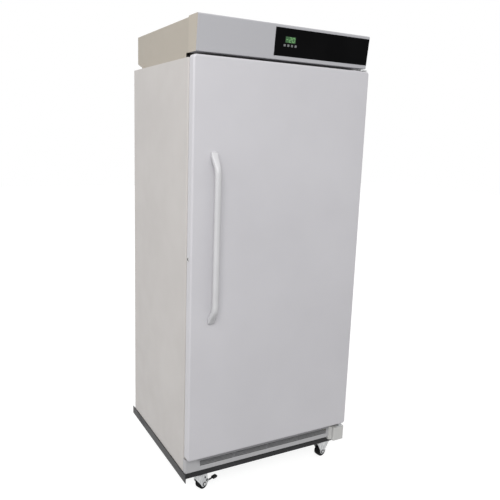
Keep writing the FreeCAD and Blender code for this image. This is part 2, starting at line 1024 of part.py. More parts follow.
def frame_rail_side(side):
    """Side angle: upright leg outside the cabinet, level leg under its edge."""
    outer = rail_half
    inner = rail_half - rail_thickness
    leg = block(inner, outer, rail_tip_y, rail_end_y, rail_low, rail_low + rail_leg)
    flat_front = front_rail_y + rail_leg
    flat_back = rear_rail_y + rail_thickness - rail_leg
    if side > 0:
        leg = block(inner, outer, front_rail_y, rail_end_y, rail_low, rail_low + rail_leg)
    flat = block(outer - rail_leg, outer, flat_front, flat_back, rail_low, rail_top)
    rail = leg.fuse(flat).removeSplitter()
    corner = picked(
        rail,
        lambda b: b.XMin > outer - 0.1 and b.ZMax < rail_low + 0.1 and b.YLength > rail_leg,
    )
    rail = rail.makeFillet(1.2, corner)
    if side < 0:
        rail = rail.mirror(V(0, 0, 0), V(1, 0, 0))
    return rail


def frame_rail_cross(rear):
    """Cross angle between the side rails, its upright leg outside the cabinet."""
    flat_x = rail_half - rail_thickness
    face = rear_rail_y if rear else front_rail_y
    leg = block(-flat_x, flat_x, face, face + rail_thickness, rail_low, rail_low + rail_leg)
    flat_y = face + rail_thickness - rail_leg if rear else face
    flat = block(-flat_x, flat_x, flat_y, flat_y + rail_leg, rail_low, rail_top)
    return leg.fuse(flat).removeSplitter()


# Casters


def caster_place(side, rear):
    """Swivel centre of one caster on the floor plane."""
    y = front_rail_y + caster_setback
    if rear:
        y = rear_rail_y + rail_thickness - caster_setback
    return V(side * caster_span, y, 0)


CASTERS = {
    "front_left": (-1, False, 20.0),
    "front_right": (1, False, 10.0),
    "rear_left": (-1, True, 340.0),
    "rear_right": (1, True, 32.0),
}
LOCKING = ("front_left", "rear_right")


def place_caster(shape, name):
    """Turn a caster piece to its heading and move it to its corner."""
    side, rear, heading = CASTERS[name]
    placed = shape.copy()
    placed.rotate(V(0, 0, 0), V(0, 0, 1), heading)
    placed.translate(caster_place(side, rear))
    return placed


def caster_plates():
    """Four swivel plates welded under the corners of the frame."""
    plates = []
    low = caster_height - caster_plate
    corners_x = caster_plate_width / 2
    corners_y = caster_plate_depth / 2
    for side, rear, _ in CASTERS.values():
        centre = caster_place(side, rear)
        plate = plan_prism(
            [
                (centre.x - corners_x, centre.y - corners_y),
                (centre.x + corners_x, centre.y - corners_y),
                (centre.x + corners_x, centre.y + corners_y),
                (centre.x - corners_x, centre.y + corners_y),
            ],
            [6] * 4,
            low,
            caster_height,
        )
        bore = Part.makeCylinder(
            king_pin_radius + pin_clearance, caster_plate + 2, V(centre.x, centre.y, low - 1)
        )
        plates.append(plate.cut(bore))
    return Part.makeCompound(plates)


def fork_leg(locking):
    """Side view of a fork leg, as (ahead of the axle, above the axle) points and their radii."""
    top = caster_height - caster_plate - face_gap - fork_head_height + fork_sheet - axle_z
    end = fork_end_radius
    if locking:
        nose = -(axle_z + apron_gap + fork_sheet)
        points = [(nose, top), (nose, 16), (-end, -end), (end, -end), (21, 10), (15, top)]
        return points, [0, 8, end, end, 10, 0]
    points = [(-36, top), (-15, 10), (-end, -end), (end, -end), (14, 2), (48, top)]
    return points, [0, 12, end, end, 8, 0]


def caster_fork(locking):
    """Pressed fork with a domed head, two legs, king pin and axle bolt."""
    head_top = caster_height - caster_plate - face_gap
    head_low = head_top - fork_head_height
    outer = fork_outer
    trail = caster_trail
    head = revolved(
        [
            (0, head_low),
            (fork_head_radius, head_low),
            (fork_head_radius - 3, head_top),
            (0, head_top),
        ],
        [0] * 4,
        V(0, 0, 0),
        V(0, 0, 1),
        V(1, 0, 0),
    )
    points, radii = fork_leg(locking)
    nose = trail + points[0][0]
    heel = trail + points[-1][0]
    outline = [V(trail + ahead, -outer, axle_z + rise) for ahead, rise in points]
    leg = Part.Face(rounded_wire(outline, radii)).extrude(V(0, fork_sheet, 0))
    other = leg.mirror(V(0, 0, 0), V(0, 1, 0))
    bridge = block(nose, heel, -outer, outer, head_low, head_low + fork_sheet)
    king_pin = Part.makeCylinder(
        king_pin_radius, caster_height - head_low - face_gap, V(0, 0, head_low)
    )
    axle = Part.makeCylinder(axle_radius, 2 * outer, V(trail, -outer, axle_z), V(0, 1, 0))
    bolt_head = Part.makeCylinder(
        axle_radius + 2.4, 2.6, V(trail, -outer - 2.6, axle_z), V(0, 1, 0)
    )
    nut = hexagon(axle_radius + 2.8, V(trail, outer, axle_z), 3.2)
    fork = head.multiFuse([leg, other, bridge, king_pin, axle, bolt_head, nut])
    if locking:
        fork = fork.fuse(fork_apron(nose, head_low)).fuse(lever_pin())
        hole = Part.makeCylinder(3.2, fork_sheet + 2, V(trail + 4, -outer - 1, axle_z + 29.5), V(0, 1, 0))
        fork = fork.cut(hole)
    return fork.removeSplitter()


def fork_apron(nose, top):
    """Sheet that closes the front of a braked fork, cut to a slant across the wheel."""
    corners = [
        V(nose, -fork_outer, top),
        V(nose, fork_outer, top),
        V(nose, fork_outer, 2 * axle_z),
        V(nose, -fork_outer, axle_z + 15),
    ]
    return Part.Face(rounded_wire(corners, [0, 0, 4, 0])).extrude(V(fork_sheet, 0, 0))


def lever_place():
    """Middle of the brake lever's pivot, on the outside of the near fork leg."""
    return V(caster_trail + lever_pivot_ahead, -fork_outer, axle_z + lever_pivot_rise)


def lever_pin():
    """Headed pin that the brake lever turns on."""
    place = lever_place()
    stem = lever_thickness + 2 * face_gap
    head = 1.5
    pin = Part.makeCylinder(lever_pivot_radius, stem + head, place, V(0, -1, 0))
    cap = Part.makeCylinder(lever_pivot_radius + 2, head, place - V(0, stem, 0), V(0, -1, 0))
    return pin.fuse(cap)


def hexagon(reach, centre, height):
    """Six-sided nut, its axis along Y."""
    points = []
    for corner in range(6):
        angle = math.radians(60 * corner)
        points.append(centre + V(reach * math.cos(angle), 0, reach * math.sin(angle)))
    wire = Part.makePolygon(points + [points[0]])
    return Part.Face(wire).extrude(V(0, height, 0))


def caster_wheel():
    """Wheel with a crowned tread, sloping flanks and a bored hub."""
    w = wheel_width / 2
    r = wheel_diameter / 2
    bore = axle_radius + pin_clearance
    shoulder = wheel_tread_bevel
    points = [
        (bore, -w),
        (wheel_hub_radius, -w),
        (r - 2 * shoulder, -w + shoulder * 0.4),
        (r, -w + shoulder * 1.4),
        (r, w - shoulder * 1.4),
        (r - 2 * shoulder, w - shoulder * 0.4),
        (wheel_hub_radius, w),
        (bore, w),
    ]
    return revolved(points, [0] * 8, V(caster_trail, 0, axle_z), V(0, 1, 0), V(1, 0, 0))


def brake_lever():
    """Foot lever of a locking caster: a pivoted arm with a broad pad."""
    place = lever_place()
    near = place.y - face_gap - lever_thickness
    low = place.z - lever_height / 2
    high = place.z + lever_height / 2
    tip = place.x + lever_reach
    back = place.x - lever_pivot_radius - 3
    corners = [V(back, near, low), V(tip - 2, near, low), V(tip - 2, near, high), V(back, near, high)]
    rounded = lever_height / 2 - 0.1
    arm = Part.Face(rounded_wire(corners, [rounded, 0, 0, rounded])).extrude(V(0, lever_thickness, 0))
    eye = Part.makeCylinder(
        lever_pivot_radius + 3, lever_thickness, V(place.x, near, place.z), V(0, 1, 0)
    )
    middle = near + lever_thickness / 2
    pad = block(
        tip - pad_length,
        tip,
        middle - pad_width / 2,
        middle + pad_width / 2,
        place.z - pad_height / 2,
        place.z + pad_height / 2,
    )
    pad = pad.makeFillet(3.5, pad.Edges)
    bore = Part.makeCylinder(
        lever_pivot_radius + pin_clearance,
        lever_thickness + 2,
        V(place.x, near - 1, place.z),
        V(0, 1, 0),
    )
    return arm.fuse(eye).cut(bore).fuse(pad).removeSplitter()


# Door


def door_core(y1):
    """Door insulation inside the skin, with chamfers that clear its rounded edges."""
    edge = door_corner_radius - sheet
    bevel = door_edge_radius - sheet
    x = half - sheet
    low = door_bottom + sheet
    high = door_top - sheet
    corners = [
        V(-x + edge, sheet, low),
        V(x - edge, sheet, low),
        V(x, sheet, low + edge),
        V(x, sheet, high - edge),
        V(x - edge, sheet, high),
        V(-x + edge, sheet, high),
        V(-x, sheet, high - edge),
        V(-x, sheet, low + edge),
    ]
    core = Part.Face(rounded_wire(corners, [0] * 8)).extrude(V(0, y1 - sheet, 0))
    return core.makeChamfer(bevel, picked(core, lambda b: b.YMax < sheet + 0.1))


def door_block(inset, y0, y1, radius_front):
    """Door outline, drawn inset from the skin, with its front edges rounded."""
    radius = door_corner_radius - inset
    body = front_prism(
        -half + inset, half - inset, door_bottom + inset, door_top - inset, y0, y1, radius
    )
    return body.makeFillet(radius_front, picked(body, lambda b: b.YMax < y0 + 0.1))


def cam_pocket():
    """Space in the door that the lock's cam sweeps through."""
    cam_x = -(half - lock_barrel_length - face_gap)
    return block(
        cam_x - 1.0,
        cam_x + lock_cam_thickness + 1.0,
        lock_depth - lock_cam_half_width - 2,
        door_back + 1,
        lock_height - lock_cam_half_width - 2,
        lock_height + lock_cam_length + 2,
    )


def bush_bores(radius, length):
    """Holes for both hinge bushes."""
    low = Part.makeCylinder(radius, length, V(hinge_x, hinge_depth, door_bottom - 0.5))
    high = Part.makeCylinder(radius, length, V(hinge_x, hinge_depth, door_top + 0.5 - length))
    return low.fuse(high)


def door_panel():
    """Pressed steel door skin with rounded front edges and a turned-in rear flange."""
    outside = door_block(0, 0, door_back, door_edge_radius)
    inside = door_block(sheet, sheet, door_back - sheet, door_edge_radius - sheet)
    flange = door_rear_flange
    mouth = front_prism(
        -half + flange, half - flange, door_bottom + flange, door_top - flange, sheet * 2, door_back + 1, 4
    )
    skin = outside.cut(inside).cut(mouth)
    bush_radius = pin_radius + pin_clearance + bush_wall + 0.1
    skin = skin.cut(bush_bores(bush_radius, pin_reach + 4))
    lock = Part.makeCylinder(
        lock_barrel_radius + 0.1, 4, V(-half - 1, lock_depth, lock_height), V(1, 0, 0)
    )
    skin = skin.cut(lock).cut(cam_pocket())
    for place in handle_screw_places():
        skin = skin.cut(
            Part.makeCylinder(screw_radius + 0.2, 3 * sheet, place - V(0, 2 * sheet, 0), V(0, 1, 0))
        )
    return skin


def door_foam():
    """Door insulation: the slab, and the cores of the inner liner's rim and ledges."""
    slab = door_core(door_back - sheet)
    bush_radius = pin_radius + pin_clearance + bush_wall + 0.1
    slab = slab.cut(bush_bores(bush_radius, pin_reach + 6))
    barrel = Part.makeCylinder(
        lock_barrel_radius + 0.1,
        lock_barrel_length + face_gap,
        V(-half, lock_depth, lock_height),
        V(1, 0, 0),
    )
    slab = slab.cut(barrel).cut(cam_pocket())
    for place in handle_screw_places():
        head = Part.makeCylinder(
            screw_head_radius + 0.3,
            screw_head_height + 0.3,
            place,
            V(0, 1, 0),
        )
        slab = slab.cut(head)
    cores = [slab]
    inner = liner_flange_back
    reach = dike_back - liner_wall
    core_x = dike_x - liner_wall
    low = dike_low + liner_wall
    high = dike_high - liner_wall
    side = dike_width - 2 * liner_wall
    envelope = dike_block(liner_wall, inner)
    for sign in (-1, 1):
        x0 = sign * core_x
        x1 = sign * (core_x - side)
        upright = block(min(x0, x1), max(x0, x1), inner, reach, low, high)
        cores.append(upright.common(envelope))
    back_reach = pocket_y - liner_wall
    span = pocket_x + liner_wall
    cores.append(block(-span, span, inner, back_reach, low, high))
    for index in range(pocket_count + 1):
        z = dike_low + index * (ledge_height + pocket_height)
        ledge = block(
            -span, span, back_reach, reach, z + liner_wall, z + ledge_height - liner_wall
        )
        cores.append(ledge.common(envelope))
    return Part.makeCompound(cores)


def pocket_blocks(extra):
    """Hollows of the door shelves, enlarged by a wall where the liner needs it."""
    hollows = []
    for index in range(pocket_count):
        z = dike_low + ledge_height + index * (ledge_height + pocket_height)
        hollows.append(
            block(
                -pocket_x - extra,
                pocket_x + extra,
                pocket_y - extra,
                dike_back + 5,
                z - extra,
                z + pocket_height + extra,
            )
        )
    return hollows


def dike_block(inset, y0):
    """Raised frame of the inner door before its pockets are cut, drawn inset."""
    reach = dike_back - inset
    raised = front_prism(
        -dike_x + inset,
        dike_x - inset,
        dike_low + inset,
        dike_high - inset,
        y0,
        reach,
        dike_corner_radius - inset,
    )
    return raised.makeFillet(dike_edge_radius - inset, picked(raised, lambda b: b.YMin > reach - 0.1))


def door_liner():
    """Moulded inner door: a flat rim for the gasket and a raised frame with shelf pockets."""
    rim_x = half - door_rear_flange + 1.5
    rim_z0 = door_bottom + door_rear_flange - 1.5
    rim_z1 = door_top - door_rear_flange + 1.5
    rim = front_prism(-rim_x, rim_x, rim_z0, rim_z1, door_back, liner_flange_back, 10)
    raised = dike_block(0, door_back)
    core = dike_block(liner_wall, liner_flange_back)
    for hollow in pocket_blocks(liner_wall):
        core = core.cut(hollow)
    liner = rim.fuse(raised)
    for hollow in pocket_blocks(0):
        liner = liner.cut(hollow)
    return liner.cut(core).removeSplitter()


def door_gasket():
    """Magnetic gasket: a ring with a rounded face, a waist and a base bead."""
    outer_x = half - gasket_inset
    outer_low = door_bottom + gasket_inset
    outer_high = door_top - gasket_inset
    base = liner_flange_back
    waist_y = base + (gasket_back - base) * 0.35
    head_y = base + (gasket_back - base) * 0.6

    def ring(inset, width, y0, y1, radius):
        outside = front_prism(
            -outer_x + inset, outer_x - inset, outer_low + inset, outer_high - inset, y0, y1, radius
        )
        far = inset + width
        inside = front_prism(
            -outer_x + far, outer_x - far, outer_low + far, outer_high - far, y0 - 1, y1 + 1, 3
        )
        return outside.cut(inside)

    bead = ring(gasket_lip, gasket_width - 2 * gasket_lip, base, waist_y, 8)
    waist = ring(gasket_lip + 1.5, gasket_width - 2 * gasket_lip - 3, waist_y, head_y, 7)
    magnet = ring(0, gasket_width, head_y, gasket_back, 9)
    face = picked(
        magnet,
        lambda b: b.YMin > gasket_back - 0.1 and max(b.XLength, b.ZLength) > half,
    )
    magnet = magnet.makeChamfer(1.2, face)
    return bead.fuse(waist).fuse(magnet).removeSplitter()


def door_shelf_bars():
    """Retaining bars across the front of each door shelf."""
    bars = []
    reach = pocket_x - face_gap
    y = dike_back - bar_radius - 5
    for index in range(pocket_count):
        ledge = dike_low + ledge_height + index * (ledge_height + pocket_height)
        for row in bar_rows:
            z = ledge + row
            bars.append(tube_between(V(-reach, y, z), V(reach, y, z), bar_radius))
    return Part.makeCompound(bars)


def hinge_bushes():
    """Flanged bushes in the door's lower and upper corners."""
    bore = pin_radius + pin_clearance
    outer = bore + bush_wall
    depth = pin_reach + 2
    points = [
        (bore, -bush_flange_height),
        (bush_flange_radius, -bush_flange_height),
        (bush_flange_radius, 0),
        (outer, 0),
        (outer, depth),
        (bore, depth),
    ]
    low = revolved(points, [0] * 6, V(hinge_x, hinge_depth, door_bottom), V(0, 0, 1), V(1, 0, 0))
    high = revolved(points, [0] * 6, V(hinge_x, hinge_depth, door_top), V(0, 0, -1), V(1, 0, 0))
    return Part.makeCompound([low, high])


def lock_barrel():
    """Lock barrel in the door's edge, with a raised ring outside."""
    bore = lock_plug_radius + pin_clearance
    points = [
        (bore, -lock_ring_height),
        (lock_ring_radius, -lock_ring_height),
        (lock_ring_radius, 0),
        (lock_barrel_radius, 0),
        (lock_barrel_radius, lock_barrel_length),
        (bore, lock_barrel_length),
    ]
    centre = V(-half, lock_depth, lock_height)
    return revolved(points, [0] * 6, centre, V(1, 0, 0), V(0, 1, 0))


def lock_plug():
    """Turning plug with a keyway, and the cam that it swings into the cabinet."""
    face_x = -half - lock_ring_height + 0.4
    cam_x = -(half - lock_barrel_length - face_gap)
    end_x = cam_x + lock_cam_thickness
    plug = Part.makeCylinder(
        lock_plug_radius, end_x - face_x, V(face_x, lock_depth, lock_height), V(1, 0, 0)
    )
    keyway = block(
        face_x - 1,
        face_x + keyway_depth,
        lock_depth - keyway_width / 2,
        lock_depth + keyway_width / 2,
        lock_height - keyway_length / 2,
        lock_height + keyway_length / 2,
    )
    keyway.rotate(V(0, lock_depth, lock_height), V(1, 0, 0), -keyway_lean)
    w = lock_cam_half_width
    corners = [
        V(cam_x, lock_depth - w - 1, lock_height - w),
        V(cam_x, lock_depth + w + 1, lock_height - w),
        V(cam_x, lock_depth + w, lock_height + lock_cam_length),
        V(cam_x, lock_depth - w, lock_height + lock_cam_length),
    ]
    outline = rounded_wire(corners, [3, 3, 2.5, 2.5])
    cam = Part.Face(outline).extrude(V(lock_cam_thickness, 0, 0))
    return plug.cut(keyway).fuse(cam).removeSplitter()


def bow_outline():
    """Side view of the bow handle: two flat feet, two slopes and a straight grip."""
    rise = handle_reach - foot_depth
    ratio = bend_length / rise
    slope = math.atan2(rise, bend_length)
    back_shift = grip_depth * 0.86 / math.sin(slope)
    knee = foot_length
    shoulder = foot_length + bend_length
    back_y_start = 0.0
    back_start = foot_length - foot_depth * ratio + back_shift
    back_grip = -(handle_reach - grip_depth)
    back_end = back_start - back_grip * ratio
    upper = [
        (0, 0),
        (-foot_depth, 0),
        (-foot_depth, knee),
        (-handle_reach, shoulder),
    ]
    inner = [
        (back_grip, back_end),
        (back_y_start, back_start),
    ]
    bottom = handle_length
    points = [(y, handle_top - along) for y, along in upper]
    points += [(y, handle_top - bottom + along) for y, along in reversed(upper)]
    points += [(y, handle_top - bottom + along) for y, along in reversed(inner)]
    points += [(y, handle_top - along) for y, along in inner]
    end = 3.0
    front = [0, end, bend_radius, bend_radius]
    back = [bend_radius * 0.8, 0]
    radii = front + front[::-1] + back[::-1] + back
    return points, radii


def handle_foot(end, inward):
    """Flared foot of the handle, from its end at one height inwards along the door."""
    wide = foot_width / 2
    slim = grip_width / 2
    shoulder = end + inward * foot_length
    tip = end + inward * (foot_length + foot_taper)
    half_view = [(wide, end), (wide, shoulder), (slim, tip)]
    points = half_view + [(-x, z) for x, z in reversed(half_view)]
    corners = [V(handle_x + x, -foot_depth, z) for x, z in points]
    foot = Part.Face(rounded_wire(corners, [6, 30, 0, 0, 30, 6])).extrude(V(0, foot_depth, 0))
    front = picked(foot, lambda b: b.YMax < 0.1 - foot_depth)
    return foot.makeFillet(foot_edge_radius, front)


def handle():
    """Bow handle: its side view run across the grip's width, on two flared feet."""
    points, radii = bow_outline()
    x0 = handle_x - grip_width / 2
    x1 = handle_x + grip_width / 2
    bow = side_prism(points, radii, x0, x1)
    ends = picked(bow, lambda b: b.XLength < 0.1 and b.YMin < -0.5 and b.ZLength > 1)
    bow = bow.makeFillet(handle_edge_radius, ends)
    upper = handle_foot(handle_top, -1)
    lower = handle_foot(handle_top - handle_length, 1)
    return bow.fuse(upper).fuse(lower).removeSplitter()


def handle_screw_places():
    """Screw places behind the handle's two feet, on the inside of the door skin."""
    places = []
    for end in (handle_top - foot_length * 0.3, handle_top - handle_length + foot_length * 0.3):
        places.append(V(handle_x, sheet, end))
    return places


def handle_screws():
    """Screws from inside the door skin into the handle's feet."""
    shank = sheet - 0.2
    return Part.makeCompound([screw(place, V(0, -1, 0), shank) for place in handle_screw_places()])


# Control housing


def housing_base():
    """Tray on the cabinet top that the housing and its electronics stand on."""
    edge = housing_x - housing_sheet - face_gap
    front = housing_relief_end + front_y
    rear = housing_back - housing_rear_chamfer
    lip = 14.0
    floor = block(-edge, edge, front, rear, top_z, top_z + housing_sheet)
    left = block(-edge, -edge + housing_sheet, front, rear, top_z, top_z + lip)
    right = left.mirror(V(0, 0, 0), V(1, 0, 0))
    front_lip = block(-edge, edge, front, front + housing_sheet, top_z, top_z + lip)
    return floor.multiFuse([left, right, front_lip]).removeSplitter()


def housing_side_outline(inset, front):
    """Side view of the housing cover."""
    relief = front_y + housing_relief_end
    return [
        (front, housing_front_low),
        (relief, housing_front_low),
        (relief, top_z + bezel_gap),
        (housing_back - housing_rear_chamfer, top_z + bezel_gap),
        (housing_back - housing_rear_chamfer, top_z + housing_rear_lift * 0.45),
        (housing_back - inset, top_z + housing_rear_lift + 8),
        (housing_back - inset, housing_top - inset),
        (front, housing_top - inset),
    ]


def housing_cover():
    """Folded housing cover: sides with their relieved corners, top and back."""
    front = bezel_back()
    radii = [0, 4, 4, 2, 2, 2, 3, 0]
    outside = side_prism(housing_side_outline(0, front), radii, -housing_x, housing_x)
    top_edges = picked(
        outside, lambda b: b.ZMin > housing_top - 0.1 and b.YLength > 100 and b.XLength < 1
    )
    outside = outside.makeFillet(3, top_edges)
    inner_x = housing_x - housing_sheet
    inside = block(
        -inner_x,
        inner_x,
        front - 1,
        housing_back - housing_sheet,
        top_z - 1,
        housing_top - housing_sheet,
    )
    cover = outside.cut(inside)
    for seat, inward in housing_screw_places():
        start = seat - inward
        cover = cover.cut(Part.makeCylinder(screw_radius + 0.2, 2 + housing_sheet, start, inward))
    return cover


def bezel_back():
    """Depth at which the bezel ends and the housing cover begins."""
    return bezel_bottom_setback + bezel_depth


def tilted(shape):
    """Lean a piece of the control front forward about the bezel's lower edge."""
    leaning = shape.copy()
    leaning.rotate(V(0, bezel_bottom_setback, housing_front_low), V(1, 0, 0), bezel_tilt)
    return leaning


def front_piece(x0, x1, rise0, rise1, sink0, sink1):
    """Upright box on the control front, before it is tilted."""
    y = bezel_bottom_setback
    z = housing_front_low
    return block(x0, x1, y + sink0, y + sink1, z + rise0, z + rise1)


def housing_bezel():
    """Front frame of the housing: a tilted face with a recess for the fascia."""
    tilt = math.radians(bezel_tilt)
    back = bezel_back() - bezel_gap
    low = housing_front_low
    high = low + bezel_height * math.cos(tilt)
    lean = bezel_height * math.sin(tilt)
    front_low = bezel_bottom_setback
    edge = housing_x + 0.5
    outline = [
        (front_low, low),
        (front_low - lean, high),
        (back, high),
        (back, low),
    ]
    outside = side_prism(outline, [3, 5, 0, 0], -edge, edge)
    wall = bezel_wall
    inner = [
        (front_low + wall + 1, low + wall),
        (front_low - lean + wall + 1, high - wall),
        (back + 1, high - wall),
        (back + 1, low + wall),
    ]
    hollow = side_prism(inner, [2, 3, 0, 0], -edge + wall, edge - wall)
    shell = outside.cut(hollow)
    sink = fascia_thickness
    gap = fascia_gap
    low_edge = fascia_margin_low
    recess = front_piece(
        -fascia_left - gap,
        edge + 5,
        low_edge - gap,
        low_edge + fascia_height + gap,
        -5,
        sink,
    )
    shell = shell.cut(tilted(recess))
    window = front_piece(
        display_centre - board_width / 2 + 8,
        display_centre + board_width / 2 - 8,
        button_rise - button_size - 3,
        display_rise + display_height + 6,
        -5,
        wall + 6,
    )
    shell = shell.cut(tilted(window))
    return shell.removeSplitter()


def fascia_panel():
    """Gloss fascia with openings for the display and the keys."""
    edge = housing_x + 0.5
    low = fascia_margin_low
    panel = front_piece(-fascia_left, edge, low, low + fascia_height, 0, fascia_thickness - 0.1)
    window = front_piece(
        display_centre - display_width / 2 - fascia_gap,
        display_centre + display_width / 2 + fascia_gap,
        display_rise - fascia_gap,
        display_rise + display_height + fascia_gap,
        -2,
        fascia_thickness + 2,
    )
    panel = panel.cut(window)
    for index in range(button_count):
        panel = panel.cut(button_block(index, button_gap, -2, fascia_thickness + 2))
    return tilted(panel)


def button_block(index, extra, sink0, sink1):
    """Square prism of one key, enlarged by a clearance."""
    x = display_centre + (index - (button_count - 1) / 2) * button_pitch
    z = housing_front_low + button_rise
    y = bezel_bottom_setback
    reach = button_size / 2 + extra
    return block(x - reach, x + reach, y + sink0, y + sink1, z - reach, z + reach)


def display_window():
    """Tinted display pane in the fascia."""
    pane = front_piece(
        display_centre - display_width / 2,
        display_centre + display_width / 2,
        display_rise,
        display_rise + display_height,
        0.3,
        fascia_thickness + 1.2,
    )
    return tilted(pane)


def button(index):
    """Square key cap with a hidden stem."""
    cap = button_block(index, 0, -button_proud, fascia_thickness + 0.6)
    y = bezel_bottom_setback
    edges = picked(cap, lambda b: b.YMax < y - button_proud + 0.1)
    cap = cap.makeChamfer(0.5, edges)
    stem_end = board_setback - 3.0 - button_travel - 0.2
    stem = button_block(index, -2.6, fascia_thickness, stem_end)
    return tilted(cap.fuse(stem).removeSplitter())


def board_low():
    """Height of the circuit board's lower edge on the control front."""
    return fascia_margin_low + 20


def controller_board():
    """Circuit board behind the fascia, with the display module and four switches."""
    left = display_centre - board_width / 2
    right = display_centre + board_width / 2
    low = board_low()
    high = low + board_height
    board = front_piece(left, right, low, high, board_setback, board_setback + board_thickness)
    module = front_piece(
        display_centre - display_width / 2 + 1,
        display_centre + display_width / 2 - 1,
        display_rise + 1,
        display_rise + display_height - 1,
        fascia_thickness + 1.5,
        board_setback,
    )
    board = board.fuse(module)
    for index in range(button_count):
        board = board.fuse(button_block(index, -1.0, board_setback - 3, board_setback))
    return tilted(board.removeSplitter())


def board_spacers():
    """Four posts between the bezel's face and the circuit board."""
    posts = []
    for sign in (-1, 1):
        for rise in (board_low() + 5, board_low() + board_height - 5):
            x = display_centre + sign * (board_width / 2 - 4)
            y = bezel_bottom_setback
            start = V(x, y + bezel_wall + 1.3, housing_front_low + rise)
            length = board_setback - bezel_wall - 1.3 - 0.1
            posts.append(tilted(Part.makeCylinder(3.4, length, start, V(0, 1, 0))))
    return Part.makeCompound(posts)


def housing_screw_places():
    """Seats of the screws low on the housing's sides, with their directions."""
    z = top_z + 8
    front = front_y + housing_relief_end + 30
    rear = housing_back - housing_rear_chamfer - 26
    places = []
    for sign in (-1, 1):
        for y in (front, rear):
            places.append((V(sign * housing_x, y, z), V(-sign, 0, 0)))
    return places


def housing_screws():
    """Screws that hold the housing cover to its base tray."""
    shank = housing_sheet - 0.1
    return Part.makeCompound([screw(seat, inward, shank) for seat, inward in housing_screw_places()])


PIECES = {
    "outer_wrapper": outer_wrapper,
    "rear_panel": rear_panel,
    "cabinet_foam": cabinet_foam,
    "inner_liner": inner_liner,
    "defrost_drain": defrost_drain,
    "underfloor_panel": underfloor_panel,
    "suction_riser": suction_riser,
    "temperature_probe": temperature_probe,
    "base_pan": base_pan,
    "compressor": compressor,
    "compressor_grommets": compressor_grommets,
    "filter_drier": filter_drier,
    "rear_cover": rear_cover,
    "power_inlet": power_inlet,
    "kick_grille": kick_grille,
    "lower_hinge_cover": lower_hinge_cover,
    "lower_hinge_bracket": lower_hinge_bracket,
    "upper_hinge_bracket": upper_hinge_bracket,
    "hinge_screws": hinge_screws,
    "caster_plates": caster_plates,
    "housing_base": housing_base,
    "housing_cover": housing_cover,
    "housing_bezel": housing_bezel,
    "fascia_panel": fascia_panel,
    "display_window": display_window,
    "controller_board": controller_board,
    "board_spacers": board_spacers,
    "housing_screws": housing_screws,
    "door_panel": door_panel,
    "door_foam": door_foam,
    "door_liner": door_liner,
    "door_gasket": door_gasket,
    "door_shelf_bars": door_shelf_bars,
    "hinge_bushes": hinge_bushes,
    "lock_barrel": lock_barrel,
    "lock_plug": lock_plug,
    "handle": handle,
    "handle_screws": handle_screws,
}


def all_pieces():
    """Every node's name with its finished shape."""
    shapes = {}
    for name, make in PIECES.items():
        shapes[name] = make()
    for index in range(shelf_count):
        shapes[f"cold_shelf_{index + 1}"] = cold_shelf(index)
    for index in range(button_count):
        shapes[f"button_{index + 1}"] = button(index)
    shapes["frame_rail_left"] = frame_rail_side(-1)
    shapes["frame_rail_right"] = frame_rail_side(1)
    shapes["frame_rail_front"] = frame_rail_cross(False)
    shapes["frame_rail_rear"] = frame_rail_cross(True)
    for name in CASTERS:
        shapes[f"caster_fork_{name}"] = place_caster(caster_fork(name in LOCKING), name)
        shapes[f"caster_wheel_{name}"] = place_caster(caster_wheel(), name)
        if name in LOCKING:
            shapes[f"brake_lever_{name}"] = place_caster(brake_lever(), name)
    return shapes


os.makedirs("parts", exist_ok=True)
for node, shape in all_pieces().items():
    shape.translate(V(0, SHIFT_Y, 0))
    shape.exportStep(f"parts/{node}.step")
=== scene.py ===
import math

import bmesh
import bpy
from mathutils import Matrix, Vector


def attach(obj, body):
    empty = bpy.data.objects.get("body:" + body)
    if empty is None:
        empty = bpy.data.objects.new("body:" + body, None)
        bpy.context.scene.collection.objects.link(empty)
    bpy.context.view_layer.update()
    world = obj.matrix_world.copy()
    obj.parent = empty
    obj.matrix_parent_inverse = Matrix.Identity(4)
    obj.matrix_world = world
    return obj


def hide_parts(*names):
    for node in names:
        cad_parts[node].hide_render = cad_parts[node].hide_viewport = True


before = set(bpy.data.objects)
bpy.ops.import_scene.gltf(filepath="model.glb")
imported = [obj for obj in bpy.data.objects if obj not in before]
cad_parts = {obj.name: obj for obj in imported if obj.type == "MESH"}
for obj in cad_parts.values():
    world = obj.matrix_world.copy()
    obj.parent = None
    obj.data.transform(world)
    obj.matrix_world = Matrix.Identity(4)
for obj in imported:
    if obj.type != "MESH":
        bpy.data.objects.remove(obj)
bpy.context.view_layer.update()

# Looks of an upright laboratory freezer. Shapes are given in millimetres, with x to the
# right, depth counted backwards from the door's front skin, and height from the floor.

MM = 0.001
DOOR_SKIN = -332.5

# Camera, found from the photograph's perspective
CAMERA_PLACE = (-1.2735, -2.3603, 1.521)
CAMERA_HEADING = math.radians(29.07)
CAMERA_PITCH = math.radians(11.05)
CAMERA_ROLL = math.radians(2.01)
CAMERA_LENS = 41.92
SENSOR = 36.0

# Control front, which leans forward about its lower edge
FRONT_FOOT = (12.0, 1819.0)
FRONT_LEAN = math.radians(6.56)

# Kick plate: its front face behind the door's skin, how far its slots reach from the middle,
# the depths between which painted shade darkens them, and the depth at which the ribs behind
# them begin
KICK_FACE = 30.0
KICK_SLOTTED = 385.0
KICK_THROAT = (0.4, 1.6)
KICK_RIBS = 1.55

# Painted shade of the door's edge on the kick plate: it sets in between two heights, and
# between two places on the left
KICK_SHADE_LOW = 144.0
KICK_SHADE_HIGH = 166.0
KICK_UNSHADED_TO = -356.0
KICK_SHADE_FROM = -338.0

# Display pane on the control front: its sides, and its edges up the slope from the foot
GLASS_LEFT = -19.0
GLASS_RIGHT = 29.0
GLASS_LOW = 65.0
GLASS_HIGH = 89.5

